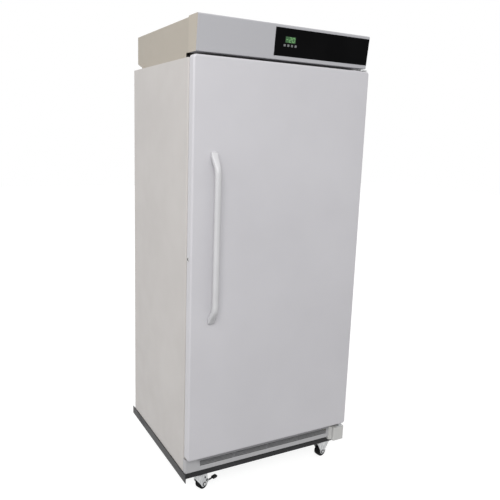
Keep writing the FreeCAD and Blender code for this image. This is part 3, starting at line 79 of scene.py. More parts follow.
# Bow handle: how far the grip's front and back stand off the door, how thick the feet are,
# and half widths
HANDLE_X = -317.5
HANDLE_TOP = 1458.0
HANDLE_LENGTH = 682.0
HANDLE_REACH = 55.0
GRIP_BACK = 33.0
GRIP_HALF = 11.8
FOOT_DEPTH = 9.0
FOOT_HALF = 14.0

# Rounding of the handle's ends, the share of it that the front takes, and the crease angle
END_ROUND = 5.0
END_ROUND_FRONT = 0.9
HANDLE_CREASE = 60

# Distances from the handle's nearer end between which its front rises, its back lifts off the
# door and its sides draw in
FRONT_RISES = (-22, 84)
BACK_LIFTS = (6, 96)
SIDES_NARROW = (14, 74)

# Exponents of the handle's rounded section: squarish at the feet, softer at the grip
FOOT_SQUARENESS = 3.6
GRIP_SQUARENESS = 2.4

# Mouth of the liner: the flange's inner and outer edges, its lowest and highest points
CABINET_FACE = 48.0
LINER_FLANGE = (346.6, 371.8)
LINER_MOUTH = (241.0, 1741.0)
LINER_SHEET = 0.95
LINER_EDGE = 0.3

# Zinc crystals on galvanised sheet, and how far their edges wander
SPANGLE = 11
SPANGLE_WARP = 6

# Casters: side, depth of the swivel, and the heading of the axle's offset in degrees
CASTERS = {
    "front_left": (-1, 74.5, 20.0),
    "front_right": (1, 74.5, 10.0),
    "rear_left": (-1, 666.5, 340.0),
    "rear_right": (1, 666.5, 32.0),
}
BRAKED = ("front_left", "rear_right")

# Swivel from the middle, axle ahead of it, wheel, outside of the fork's legs, and the brake
# shoe's rivet ahead of the axle and above it
CASTER_X = 315.5
AXLE_AHEAD = 11.0
WHEEL_RADIUS = 25.0
WHEEL_HALF = 15.5
FORK_FACE = 18.5
SHOE_RIVET = (4.0, 29.5)


def at(x, depth, height):
    """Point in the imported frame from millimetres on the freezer."""
    return Vector((x, depth + DOOR_SKIN, height)) * MM


# Materials


def colour(code):
    """Linear colour with alpha from an sRGB hex code."""
    channels = []
    for start in (1, 3, 5):
        value = int(code[start : start + 2], 16) / 255
        channels.append(value / 12.92 if value <= 0.04045 else ((value + 0.055) / 1.055) ** 2.4)
    return (*channels, 1.0)


def per(millimetres):
    """Texture scale that repeats once in so many millimetres."""
    return 1 / (millimetres * MM)


def node(tree, kind, feeds=None, **settings):
    """Adds a shader node, sets it up, and feeds its sockets from values or other sockets."""
    added = tree.nodes.new("ShaderNode" + kind)
    for name, value in settings.items():
        setattr(added, name, value)
    for socket, value in (feeds or {}).items():
        if isinstance(value, bpy.types.NodeSocket):
            tree.links.new(value, added.inputs[socket])
        else:
            added.inputs[socket].default_value = value
    return added


def begin(name, **sockets):
    """New material: the material, its tree, its shader and its place on the object."""
    made = bpy.data.materials.new(name)
    made.use_nodes = True
    tree = made.node_tree
    shader = tree.nodes["Principled BSDF"]
    for socket, value in sockets.items():
        shader.inputs[socket.replace("_", " ")].default_value = value
    return made, tree, shader, node(tree, "TexCoord").outputs["Object"]


def drive(tree, shader, **sources):
    """Feeds a shader's sockets, named with underscores, from the outputs of other nodes."""
    for socket, source in sources.items():
        tree.links.new(source, shader.inputs[socket.replace("_", " ")])


def finish_surface(name, dark, light, patch, gloss, grain, depth, stretch=(1, 1, 1), **sockets):
    """Surface whose tone drifts over patches, with uneven gloss and a fine relief.

    dark and light are hex colours; patch and grain are sizes in millimetres; gloss is the
    lowest and highest roughness; depth is the relief in millimetres.
    """
    made, tree, shader, place = begin(name, **sockets)
    lie = node(tree, "Mapping", {"Vector": place, "Scale": stretch}).outputs[0]
    drift = node(tree, "TexNoise", {"Vector": lie, "Scale": per(patch), "Detail": 4.0})
    share = node(
        tree, "MapRange", {"Value": drift.outputs["Fac"], "From Min": 0.32, "From Max": 0.68}
    )
    tone = node(
        tree, "Mix", {0: share.outputs[0], 6: colour(dark), 7: colour(light)}, data_type="RGBA"
    )
    sheen = node(tree, "TexNoise", {"Vector": lie, "Scale": per(patch / 5), "Detail": 3.0})
    rough = node(
        tree,
        "MapRange",
        {
            "Value": sheen.outputs["Fac"],
            "From Min": 0.3,
            "From Max": 0.7,
            "To Min": gloss[0],
            "To Max": gloss[1],
        },
    )
    relief = node(tree, "TexNoise", {"Vector": lie, "Scale": per(grain), "Detail": 2.0})
    bump = node(tree, "Bump", {"Height": relief.outputs["Fac"], "Distance": depth * MM})
    drive(
        tree,
        shader,
        Base_Color=tone.outputs[2],
        Roughness=rough.outputs[0],
        Normal=bump.outputs[0],
    )
    return made


def frame_paint():
    """Brushed-on black frame enamel: dark satin, rubbed grey in streaks along the steel."""
    made, tree, shader, place = begin("brushed_black_enamel", Specular_IOR_Level=0.25)
    lie = node(tree, "Mapping", {"Vector": place, "Scale": (0.4, 0.4, 1.8)}).outputs[0]
    wear = node(tree, "TexNoise", {"Vector": lie, "Scale": per(60), "Detail": 5.0})
    rubbed = node(
        tree, "MapRange", {"Value": wear.outputs["Fac"], "From Min": 0.5, "From Max": 0.72}
    )
    tone = node(
        tree,
        "Mix",
        {0: rubbed.outputs[0], 6: colour("#1d1d1f"), 7: colour("#38383b")},
        data_type="RGBA",
    )
    gloss = node(tree, "MapRange", {"Value": rubbed.outputs[0], "To Min": 0.42, "To Max": 0.65})
    strokes = node(tree, "TexNoise", {"Vector": lie, "Scale": per(2), "Detail": 2.0})
    bump = node(tree, "Bump", {"Height": strokes.outputs["Fac"], "Distance": 0.03 * MM})
    drive(
        tree,
        shader,
        Base_Color=tone.outputs[2],
        Roughness=gloss.outputs[0],
        Normal=bump.outputs[0],
    )
    return made


def powder_coat_bezel():
    """Powder coat on the control front: cool grey ahead, with painted warm light where it turns
    to the sides.
    """
    made, tree, shader, place = begin("powder_coat_bezel")
    grain = node(tree, "TexNoise", {"Vector": place, "Scale": per(1.4), "Detail": 2.0})
    # Painted warm light: faces turned to the sides take a warmer tone than the front
    facing = node(tree, "SeparateXYZ", {0: node(tree, "NewGeometry").outputs["Normal"]})
    aside = node(tree, "Math", {0: facing.outputs["X"]}, operation="ABSOLUTE")
    side_warm_light = node(tree, "MapRange", {"Value": aside.outputs[0], "From Min": 0.3, "From Max": 0.9})
    tone = node(
        tree,
        "Mix",
        {0: side_warm_light.outputs[0], 6: colour("#b0b0b4"), 7: colour("#b1a99c")},
        data_type="RGBA",
    )
    gloss = node(tree, "MapRange", {"Value": grain.outputs["Fac"], "To Min": 0.4, "To Max": 0.5})
    bump = node(tree, "Bump", {"Height": grain.outputs["Fac"], "Distance": 0.02 * MM})
    drive(
        tree,
        shader,
        Base_Color=tone.outputs[2],
        Roughness=gloss.outputs[0],
        Normal=bump.outputs[0],
    )
    return made


def kick_abs():
    """Moulded ABS kick plate: spark-eroded grain, with painted shade below the door and in the
    slots.
    """
    made, tree, shader, place = begin("kick_abs", Roughness=0.52)
    grain = node(tree, "TexNoise", {"Vector": place, "Scale": per(0.8), "Detail": 2.0})
    spot = node(tree, "SeparateXYZ", {0: place})
    face = (KICK_FACE + DOOR_SKIN) * MM
    darkens, dark = KICK_THROAT
    # Painted shade in the slots: near black in their throats and mid grey on the ribs behind
    behind = node(
        tree,
        "MapRange",
        {
            "Value": spot.outputs["Y"],
            "From Min": face + darkens * MM,
            "From Max": face + dark * MM,
        },
    )
    aside = node(tree, "Math", {0: spot.outputs["X"]}, operation="ABSOLUTE")
    slotted = node(
        tree, "Math", {0: aside.outputs[0], 1: KICK_SLOTTED * MM}, operation="LESS_THAN"
    )
    slot_shade = node(
        tree, "Math", {0: behind.outputs[0], 1: slotted.outputs[0]}, operation="MULTIPLY"
    )
    ribbed = node(
        tree, "Math", {0: spot.outputs["Y"], 1: face + KICK_RIBS * MM}, operation="GREATER_THAN"
    )
    slot_shade_tone = node(
        tree,
        "Mix",
        {0: ribbed.outputs[0], 6: colour("#08080a"), 7: colour("#6a6a6d")},
        data_type="RGBA",
    )
    # Painted shade of the door's edge along the plate's upper margin, fading out at the left end
    door_shade_height = node(
        tree,
        "MapRange",
        {
            "Value": spot.outputs["Z"],
            "From Min": KICK_SHADE_LOW * MM,
            "From Max": KICK_SHADE_HIGH * MM,
        },
    )
    door_shade_inward = node(
        tree,
        "MapRange",
        {
            "Value": spot.outputs["X"],
            "From Min": KICK_UNSHADED_TO * MM,
            "From Max": KICK_SHADE_FROM * MM,
        },
    )
    door_shade = node(tree, "Math", {0: door_shade_height.outputs[0], 1: door_shade_inward.outputs[0]}, operation="MULTIPLY")
    face_tone = node(
        tree,
        "Mix",
        {0: door_shade.outputs[0], 6: colour("#b2b2b4"), 7: colour("#8c8c8f")},
        data_type="RGBA",
    )
    tone = node(
        tree,
        "Mix",
        {0: slot_shade.outputs[0], 6: face_tone.outputs[2], 7: slot_shade_tone.outputs[2]},
        data_type="RGBA",
    )
    bump = node(tree, "Bump", {"Height": grain.outputs["Fac"], "Distance": 0.03 * MM})
    drive(tree, shader, Base_Color=tone.outputs[2], Normal=bump.outputs[0])
    return made


def galvanised_steel():
    """Hot-dip galvanised sheet: grey metal with crystals about 11 mm across."""
    made, tree, shader, place = begin("galvanised_steel", Metallic=0.85)
    warp = node(tree, "TexNoise", {"Vector": place, "Scale": per(9), "Detail": 3.0})
    ragged = node(
        tree,
        "VectorMath",
        {0: warp.outputs["Color"], 1: (SPANGLE_WARP * MM,) * 3},
        operation="MULTIPLY",
    )
    bent = node(tree, "VectorMath", {0: place, 1: ragged.outputs[0]}, operation="ADD")
    spangle = node(tree, "TexVoronoi", {"Vector": bent.outputs[0], "Scale": per(SPANGLE)})
    crystal = node(tree, "SeparateColor", {0: spangle.outputs["Color"]})
    tone = node(
        tree,
        "Mix",
        {0: crystal.outputs["Red"], 6: colour("#a0a3a5"), 7: colour("#b7babb")},
        data_type="RGBA",
    )
    gloss = node(
        tree, "MapRange", {"Value": crystal.outputs["Green"], "To Min": 0.34, "To Max": 0.5}
    )
    bump = node(tree, "Bump", {"Height": spangle.outputs["Distance"], "Distance": 0.01 * MM})
    drive(
        tree,
        shader,
        Base_Color=tone.outputs[2],
        Roughness=gloss.outputs[0],
        Normal=bump.outputs[0],
    )
    return made


def polyurethane_foam():
    """Poured polyurethane foam: cream, matt, with cells drawn 1.6 mm across so they show."""
    made, tree, shader, place = begin("polyurethane_foam", Roughness=0.95)
    cells = node(tree, "TexVoronoi", {"Vector": place, "Scale": per(1.6)})
    drift = node(tree, "TexNoise", {"Vector": place, "Scale": per(30), "Detail": 4.0})
    tone = node(
        tree,
        "Mix",
        {0: drift.outputs["Fac"], 6: colour("#d8cd98"), 7: colour("#ece4c2")},
        data_type="RGBA",
    )
    bump = node(tree, "Bump", {"Height": cells.outputs["Distance"], "Distance": 0.25 * MM})
    drive(tree, shader, Base_Color=tone.outputs[2], Normal=bump.outputs[0])
    return made


def solder_mask():
    """Green solder mask over etched copper tracks, about 22 mm between the main ones."""
    made, tree, shader, place = begin("solder_mask", Roughness=0.35)
    tracks = node(tree, "TexBrick", {"Vector": place, "Scale": per(22), "Mortar Size": 0.05})
    tone = node(
        tree,
        "Mix",
        {0: tracks.outputs["Fac"], 6: colour("#164a2a"), 7: colour("#2b6b3f")},
        data_type="RGBA",
    )
    bump = node(tree, "Bump", {"Height": tracks.outputs["Fac"], "Distance": 0.03 * MM})
    drive(tree, shader, Base_Color=tone.outputs[2], Normal=bump.outputs[0])
    return made


def lit_crystal(name, dark, light, strength):
    """Backlit liquid crystal: an even glow with slight clouding from the diffuser."""
    made, tree, shader, place = begin(name, Roughness=0.35, Emission_Strength=strength)
    cloud = node(tree, "TexNoise", {"Vector": place, "Scale": per(7), "Detail": 2.0})
    tone = node(
        tree,
        "Mix",
        {0: cloud.outputs["Fac"], 6: colour(dark), 7: colour(light)},
        data_type="RGBA",
    )
    drive(tree, shader, Base_Color=tone.outputs[2], Emission_Color=tone.outputs[2])
    return made


MATERIALS = {
    # Baked enamel on sheet steel: even, satin, with a faint orange peel.
    # The cabinet's enamel is warmer than the door's, which paints warm light falling on the left
    # side.
    "cabinet_enamel": finish_surface(
        "cabinet_enamel",
        "#c0bcb9",
        "#c6c2bf",
        420,
        (0.34, 0.44),
        2.2,
        0.012,
        Specular_IOR_Level=0.4,
    ),
    "door_enamel": finish_surface(
        "door_enamel", "#c5c4c8", "#cbcace", 420, (0.3, 0.4), 2.2, 0.012, Specular_IOR_Level=0.4
    ),
    # Powder coat: warmer, duller and rougher than the enamel.
    "powder_coat_warm": finish_surface(
        "powder_coat_warm", "#aaa397", "#ada599", 260, (0.48, 0.54), 1.4, 0.03
    ),
    "powder_coat_bezel": powder_coat_bezel(),
    # Injection-moulded ABS with a spark-eroded grain.
    "handle_abs": finish_surface("handle_abs", "#c5c5c7", "#cbcbcd", 90, (0.28, 0.4), 0.8, 0.012),
    "kick_abs": kick_abs(),
    "cover_abs": finish_surface("cover_abs", "#c2c2c0", "#cacac8", 90, (0.4, 0.52), 0.8, 0.03),
    "key_abs": finish_surface("key_abs", "#696a6c", "#787a7b", 12, (0.35, 0.5), 0.5, 0.01),
    # Vacuum-formed polystyrene: glossy white, slightly wavy from the mould.
    "formed_polystyrene": finish_surface(
        "formed_polystyrene", "#dadcdd", "#e3e4e5", 300, (0.34, 0.42), 14.0, 0.015
    ),
    # Natural nylon: milky and waxy.
    "nylon": finish_surface("nylon", "#d4d5d1", "#e0e0dd", 25, (0.38, 0.5), 0.8, 0.01),
    # Glass-filled nylon: dull black.
    "filled_nylon": finish_surface(
        "filled_nylon", "#121213", "#1c1c1d", 20, (0.4, 0.55), 0.6, 0.02, Specular_IOR_Level=0.25
    ),
    # White epoxy on welded wire: glossy, with runs at the crossings.
    "epoxy_coat": finish_surface("epoxy_coat", "#dcdfe1", "#e8eaeb", 40, (0.22, 0.36), 3.0, 0.03),
    # Black stove enamel sprayed on the compressor's shell.
    "compressor_enamel": finish_surface(
        "compressor_enamel", "#151618", "#1f2022", 60, (0.3, 0.45), 1.6, 0.03
    ),
    # Bright zinc plate: pale, cloudy and faintly drawn in the rolling direction.
    "zinc_plate": finish_surface(
        "zinc_plate", "#b2b4b6", "#dcdddd", 9, (0.34, 0.5), 0.9, 0.01, (1, 1, 0.4), Metallic=0.6
    ),
    # Polished nickel plate on the lock barrel.
    "nickel_plate": finish_surface(
        "nickel_plate", "#b9b9b8", "#d6d6d4", 8, (0.18, 0.32), 0.8, 0.006, Metallic=1.0
    ),
    # Soft vinyl: matt and a little dusty.
    "gasket_vinyl": finish_surface(
        "gasket_vinyl", "#b3b1aa", "#c2c0b9", 30, (0.55, 0.72), 0.8, 0.02, Specular_IOR_Level=0.3
    ),
    # Black tyre rubber, greyed by the floor.
    "tyre_rubber": finish_surface(
        "tyre_rubber", "#080809", "#171718", 14, (0.6, 0.85), 0.9, 0.04, Specular_IOR_Level=0.1
    ),
    # Injection-moulded grey polypropylene.
    "hub_polypropylene": finish_surface(
        "hub_polypropylene", "#3a3b3d", "#4a4b4d", 12, (0.4, 0.55), 0.8, 0.02
    ),
    # Black-oxide steel: thin, dark and oily.
    "black_oxide": finish_surface(
        "black_oxide", "#1a1a1b", "#2a2a2b", 5, (0.35, 0.5), 0.6, 0.01, Metallic=0.5
    ),
    # Black powder coat on the tray that carries the controls; its black is painted shade, for the
    # dark gap above the door where the tray shows.
    "powder_coat_black_shade": finish_surface(
        "powder_coat_black_shade", "#0e0e0f", "#141415", 120, (0.5, 0.6), 1.4, 0.03
    ),
    # Printed polycarbonate film on the fascia: deep black and smooth.
    "fascia_film": finish_surface(
        "fascia_film", "#060607", "#0a0a0b", 120, (0.1, 0.2), 40, 0.02, Specular_IOR_Level=0.03
    ),
    # Smoked acrylic pane over the display.
    "display_pane": finish_surface(
        "display_pane", "#0b120c", "#101811", 20, (0.08, 0.14), 30, 0.01, Specular_IOR_Level=0.15
    ),
    # Drawn copper, browned by handling and heat.
    "drawn_copper": finish_surface(
        "drawn_copper", "#7c4a30", "#c07a50", 16, (0.28, 0.5), 2.0, 0.01, Metallic=1.0
    ),
    # Materials with a pattern of their own, described where they are made.
    "frame_paint": frame_paint(),
    "galvanised_steel": galvanised_steel(),
    "polyurethane_foam": polyurethane_foam(),
    "solder_mask": solder_mask(),
    "display_field": lit_crystal("display_field", "#1f4621", "#2a552b", 0.24),
    "display_segment": lit_crystal("display_segment", "#5f9a58", "#76ab6e", 0.2),
}

NODE_LOOKS = {
    "outer_wrapper": "cabinet_enamel",
    "rear_panel": "cabinet_enamel",
    "door_panel": "door_enamel",
    "cabinet_foam": "polyurethane_foam",
    "door_foam": "polyurethane_foam",
    "inner_liner": "formed_polystyrene",
    "door_liner": "formed_polystyrene",
    "door_shelf_bars": "nylon",
    "handle": "handle_abs",
    "handle_screws": "zinc_plate",
    "lower_hinge_cover": "cover_abs",
    "kick_grille": "kick_abs",
    "housing_cover": "powder_coat_warm",
    "housing_bezel": "powder_coat_bezel",
    "fascia_panel": "fascia_film",
    "display_window": "display_pane",
    "controller_board": "solder_mask",
    "board_spacers": "nylon",
    "hinge_bushes": "nylon",
    "defrost_drain": "nylon",
    "temperature_probe": "nylon",
    "power_inlet": "filled_nylon",
    "compressor": "compressor_enamel",
    "compressor_grommets": "tyre_rubber",
    "door_gasket": "gasket_vinyl",
    "suction_riser": "drawn_copper",
    "filter_drier": "drawn_copper",
    "underfloor_panel": "galvanised_steel",
    "base_pan": "galvanised_steel",
    "rear_cover": "galvanised_steel",
    "housing_base": "powder_coat_black_shade",
    "lock_barrel": "nickel_plate",
    "lock_plug": "black_oxide",
    "caster_plates": "zinc_plate",
    "lower_hinge_bracket": "zinc_plate",
    "upper_hinge_bracket": "zinc_plate",
    "hinge_screws": "zinc_plate",
    "housing_screws": "powder_coat_warm",
}
FAMILY_LOOKS = {
    "cold_shelf": "epoxy_coat",
    "button": "key_abs",
    "frame_rail": "frame_paint",
    "brake_lever": "filled_nylon",
    "caster_wheel": "tyre_rubber",
    "caster_fork": "zinc_plate",
}


def look_of(name):
    """Material of a carried CAD node."""
    if name in NODE_LOOKS:
        return MATERIALS[NODE_LOOKS[name]]
    family = next(start for start in FAMILY_LOOKS if name.startswith(start))
    return MATERIALS[FAMILY_LOOKS[family]]


# Carried nodes keep edges sharper than this many degrees
NODE_CREASE = 32


def dress_nodes():
    """Gives every carried node its material, and smooth shading across its rounded edges."""
    for name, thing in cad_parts.items():
        for slot in thing.material_slots:
            slot.material = look_of(name)
        split = thing.modifiers.new("split", "EDGE_SPLIT")
        split.split_angle = math.radians(NODE_CREASE)
        weighted = thing.modifiers.new("weighted", "WEIGHTED_NORMAL")
        weighted.mode = "FACE_AREA"
        weighted.keep_sharp = True


# Pieces


def piece(name, mesh, look, body, replaced=()):
    """Puts a finished mesh in the scene as one piece of a body."""
    shape = bpy.data.meshes.new(name)
    bmesh.ops.recalc_face_normals(mesh, faces=mesh.faces)
    mesh.to_mesh(shape)
    mesh.free()
    shape.materials.append(MATERIALS[look])
    thing = bpy.data.objects.new(name, shape)
    bpy.context.scene.collection.objects.link(thing)
    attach(thing, body)
    if replaced:
        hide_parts(*replaced)
    return thing


def smooth(thing, angle=35):
    """Smooth shading that keeps edges sharper than an angle in degrees."""
    for face in thing.data.polygons:
        face.use_smooth = True
    split = thing.modifiers.new("split", "EDGE_SPLIT")
    split.split_angle = math.radians(angle)


def loft(mesh, rings):
    """Skin over closed rings of points, capped at both ends."""
    rows = [[mesh.verts.new(point) for point in ring] for ring in rings]
    for near, far in zip(rows, rows[1:]):
        for index in range(len(near)):
            after = (index + 1) % len(near)
            mesh.faces.new((near[index], near[after], far[after], far[index]))
    mesh.faces.new(rows[0])
    mesh.faces.new(rows[-1])


def turned(mesh, profile, place, steps=48):
    """Closed ring of (radius, height) points turned about an axis; place maps them out."""
    rows = []
    for step in range(steps):
        turn = 2 * math.pi * step / steps
        rows.append([mesh.verts.new(place(r, h, turn)) for r, h in profile])
    for index, near in enumerate(rows):
        far = rows[(index + 1) % steps]
        for point in range(len(profile)):
            after = (point + 1) % len(profile)
            mesh.faces.new((near[point], near[after], far[after], far[point]))


def slab(mesh, outline, lift):
    """Prism from an outline of points, raised by a vector."""
    loft(mesh, [outline, [point + lift for point in outline]])


def blended(value, start, end):
    """Smooth step from 0 at the start to 1 at the end."""
    share = min(max((value - start) / (end - start), 0), 1)
    return share * share * share * (share * (share * 6 - 15) + 10)


def bow_handle():
    """Moulded bow handle: flat flared feet that swell through an S-bend into the grip."""
    mesh = bmesh.new()
    around = 28
    stations = 120
    rings = []
    for station in range(stations + 1):
        along = HANDLE_LENGTH * station / stations
        down = min(along, HANDLE_LENGTH - along)
        lift = blended(down, *FRONT_RISES)
        front = FOOT_DEPTH + (HANDLE_REACH - FOOT_DEPTH) * lift
        back = GRIP_BACK * blended(down, *BACK_LIFTS)
        wide = FOOT_HALF - (FOOT_HALF - GRIP_HALF) * blended(down, *SIDES_NARROW)
        end = min(down / END_ROUND, 1)
        tuck = END_ROUND * (1 - math.sqrt(1 - (1 - end) ** 2))
        front -= tuck * END_ROUND_FRONT
        wide -= tuck
        squareness = FOOT_SQUARENESS - (FOOT_SQUARENESS - GRIP_SQUARENESS) * lift
        middle = (front + back) / 2
        depth = (front - back) / 2
        ring = []
        for step in range(around):
            turn = 2 * math.pi * step / around
            c, s = math.cos(turn), math.sin(turn)
            x = math.copysign(abs(c) ** (2 / squareness), c) * wide
            y = math.copysign(abs(s) ** (2 / squareness), s) * depth
            ring.append(at(HANDLE_X + x, -middle + y, HANDLE_TOP - along))
        rings.append(ring)
    loft(mesh, rings)
    handle = piece("bow_handle", mesh, "handle_abs", "door", ["handle"])
    smooth(handle, HANDLE_CREASE)


def on_front(x, rise, out):
    """Point on the leaning control front, so far proud of its face."""
    c, s = math.cos(FRONT_LEAN), math.sin(FRONT_LEAN)
    return at(x, FRONT_FOOT[0] - out * c - rise * s, FRONT_FOOT[1] - out * s + rise * c)


# Ends of the seven bars of a figure, in half widths across and bar lengths up, from the top
# clockwise and then the middle, and the bars that each sign lights
BARS = [
    ((-1, 2), (1, 2)),
    ((1, 2), (1, 1)),
    ((1, 1), (1, 0)),
    ((-1, 0), (1, 0)),
    ((-1, 0), (-1, 1)),
    ((-1, 1), (-1, 2)),
    ((-1, 1), (1, 1)),
]
SIGNS = {"-": (6,), "2": (0, 1, 6, 4, 3), "0": (0, 1, 2, 3, 4, 5)}

# The reading, with each sign's centre
READING = (("-", -10.5), ("2", 4.0), ("0", 19.0))
BAR_LENGTH = 8.2
FIGURE_WIDTH = 9.6
BAR_HALF = 1.25
BAR_GAP = 0.35
FIGURE_LEAN = 0.09

# Depths behind the fascia's face, and thicknesses
FIELD_RIM = 1.2
FIELD_OUT = -0.26
FIELD_SHEET = 0.1
READING_OUT = -0.12
READING_SHEET = 0.06


def proud(distance):
    """Vector straight out of the control front."""
    return on_front(0, 0, distance) - on_front(0, 0, 0)


def bar_outline(first, last):
    """Six-cornered bar, pointed at both ends."""
    along = (last - first).normalized()
    across = Vector((-along.y, along.x)) * BAR_HALF
    first = first + along * BAR_GAP
    last = last - along * BAR_GAP
    return [
        first,
        first + along * BAR_HALF + across,
        last - along * BAR_HALF + across,
        last,
        last - along * BAR_HALF - across,
        first + along * BAR_HALF - across,
    ]


def display():
    """Lit field behind the pane's face, and the reading in seven-bar figures."""
    left, right = GLASS_LEFT + FIELD_RIM, GLASS_RIGHT - FIELD_RIM
    low, high = GLASS_LOW + FIELD_RIM, GLASS_HIGH - FIELD_RIM
    corners = [(left, low), (right, low), (right, high), (left, high)]
    field = bmesh.new()
    slab(field, [on_front(x, z, FIELD_OUT) for x, z in corners], proud(FIELD_SHEET))
    piece("display_field", field, "display_field", "cabinet")
    bars = bmesh.new()
    middle = (GLASS_LOW + GLASS_HIGH) / 2
    for sign, centre in READING:
        for bar in SIGNS[sign]:
            ends = [Vector((a * FIGURE_WIDTH / 2, (b - 1) * BAR_LENGTH)) for a, b in BARS[bar]]
            points = [
                on_front(centre + p.x + FIGURE_LEAN * p.y, middle + p.y, READING_OUT)
                for p in bar_outline(*ends)
            ]
            slab(bars, points, proud(READING_SHEET))
    piece("display_reading", bars, "display_segment", "cabinet")


def caster_place(name):
    """Function from a caster's own millimetres (ahead, left, up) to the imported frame."""
    side, depth, heading = CASTERS[name]
    turn = math.radians(heading)
    c, s = math.cos(turn), math.sin(turn)

    def place(ahead, left, up):
        return at(side * CASTER_X + ahead * c - left * s, depth + ahead * s + left * c, up)

    return place


def about_axle(name, ahead=0, up=0):
    """Function from radius, distance left and turn to a point about a line along the axle."""
    place = caster_place(name)

    def turn_out(r, h, turn):
        forward = AXLE_AHEAD + ahead + r * math.cos(turn)
        return place(forward, h, WHEEL_RADIUS + up + r * math.sin(turn))

    return turn_out


# Steps around the tyres and the small rings
TYRE_STEPS = 64
RING_STEPS = 32

# Half profiles of (radius, height from the wheel's middle), from one face to the middle
TYRE_HALF = [
    (17.0, 1.2 - WHEEL_HALF),
    (19.5, 0.2 - WHEEL_HALF),
    (22.6, 0.4 - WHEEL_HALF),
    (24.3, 2.0 - WHEEL_HALF),
    (24.85, 5.0 - WHEEL_HALF),
    (25.0, 9.0 - WHEEL_HALF),
]
HUB_HALF = [
    (3.1, -WHEEL_HALF),
    (7.0, -WHEEL_HALF),
    (7.6, 0.6 - WHEEL_HALF),
    (8.0, -4.0),
    (15.2, -4.0),
    (15.8, 1.6 - WHEEL_HALF),
    (17.2, 1.2 - WHEEL_HALF),
]

# Hub ribs: count, half thickness, inner and outer ends, foot and top from the wheel's middle
RIB_COUNT = 6
RIB_HALF = 0.9
RIB_REACH = (7.6, 16.0)
RIB_FOOT = 3.8
RIB_TOP = WHEEL_HALF - 2.6


def both_faces(half):
    """Whole profile from a half one."""
    return half + [(radius, -height) for radius, height in reversed(half)]


def add_ribs(mesh, turn_out):
    """Radial ribs in both sunk faces of a hub."""
    inner, outer = RIB_REACH
    for rib in range(RIB_COUNT):
        turn = 2 * math.pi * rib / RIB_COUNT
        for face in (-1, 1):
            outline = []
            for r, spread in ((inner, 1), (outer, 1), (outer, -1), (inner, -1)):
                outline.append(turn_out(r, face * RIB_FOOT, turn + spread * RIB_HALF / r))
            lift = turn_out(0, face * RIB_TOP, 0) - turn_out(0, face * RIB_FOOT, 0)
            slab(mesh, outline, lift)


def wheels():
    """Rubber tyres with rounded shoulders on moulded hubs with sunk, ribbed faces."""
    for name in CASTERS:
        turn_out = about_axle(name)
        body = f"wheel_{name}"
        mesh = bmesh.new()
        turned(mesh, both_faces(TYRE_HALF), turn_out, TYRE_STEPS)
        tyre = piece(
            f"tyre_{name}", mesh, "tyre_rubber", body, [f"caster_wheel_{name}"]
        )
        smooth(tyre)
        mesh = bmesh.new()
        turned(mesh, both_faces(HUB_HALF), turn_out)
        add_ribs(mesh, turn_out)
        smooth(piece(f"hub_{name}", mesh, "hub_polypropylene", body))


def near_ring(mesh, name, profile, ahead, up):
    """Ring of (radius, height) points on the outside of a fork's near leg."""
    outside = [(radius, -FORK_FACE - height) for radius, height in profile]
    turned(mesh, outside, about_axle(name, ahead, up), RING_STEPS)


# Profiles of (radius, height) on the fork's face
AXLE_WASHER = [(5.6, 0.05), (9.2, 0.05), (9.6, 0.35), (9.2, 0.65), (5.6, 0.65)]
RIVET_HEAD = [(0.1, 0.05), (4.6, 0.05), (4.4, 0.7), (3.2, 1.3), (0.1, 1.5)]


def fork_fittings():
    """Black-oxide washers under the axle bolts, and the rivet that holds each brake shoe."""
    for name in CASTERS:
        mesh = bmesh.new()
        near_ring(mesh, name, AXLE_WASHER, 0, 0)
        smooth(piece(f"axle_washer_{name}", mesh, "black_oxide", f"fork_{name}"))
    for name in BRAKED:
        mesh = bmesh.new()
        near_ring(mesh, name, RIVET_HEAD, *SHOE_RIVET)
        smooth(piece(f"shoe_rivet_{name}", mesh, "black_oxide", f"fork_{name}"))


def liner_flanges():
    """Side flanges of the liner's mouth, which the CAD liner has only at top and bottom."""
    for name, side in (("left", -1), ("right", 1)):
        mesh = bmesh.new()
        near, far = side * LINER_FLANGE[0], side * LINER_FLANGE[1]
        low, high = LINER_MOUTH
        outline = [(near, low), (far, low), (far, high), (near, high)]
        face = [at(x, CABINET_FACE, z) for x, z in outline]
        slab(mesh, face, Vector((0, LINER_SHEET, 0)) * MM)
        flange = piece(
            f"liner_flange_{name}", mesh, "formed_polystyrene", "cabinet"
        )
        rounded = flange.modifiers.new("rounded", "BEVEL")
        rounded.width = LINER_EDGE * MM
        rounded.segments = 2


# Stage, in metres: each light's place, target, width and watts; the dome's strength; how much
# the floor is lifted, for the camera alone, to meet the white backdrop; half the floor's width
LIGHTS = {
    "key": ((-2.1, -3.7, 3.3), (0, 0, 1.3), 2.4, 105),
    "side": ((-3.8, -0.6, 3.3), (0, 0, 1.6), 2.0, 38),
}
DOME_STRENGTH = 0.76
FLOOR_LIFT = 0.82
FLOOR_REACH = 14.0


def place_camera():
    """Camera at the photograph's viewpoint."""
    turn, pitch, roll = CAMERA_HEADING, CAMERA_PITCH, CAMERA_ROLL
    forward = Vector(
        (math.sin(turn) * math.cos(pitch), math.cos(turn) * math.cos(pitch), -math.sin(pitch))
    )
    level = Vector((math.cos(turn), -math.sin(turn), 0))
    upright = level.cross(forward)
    right = level * math.cos(roll) + upright * math.sin(roll)
    up = upright * math.cos(roll) - level * math.sin(roll)
    data = bpy.data.cameras.new("camera")
    data.lens = CAMERA_LENS
    data.sensor_width = SENSOR
    camera = bpy.data.objects.new("camera", data)
    turned_to = Matrix((right, up, -forward)).transposed().to_4x4()
    camera.matrix_world = Matrix.Translation(CAMERA_PLACE) @ turned_to
    bpy.context.scene.collection.objects.link(camera)
    bpy.context.scene.camera = camera


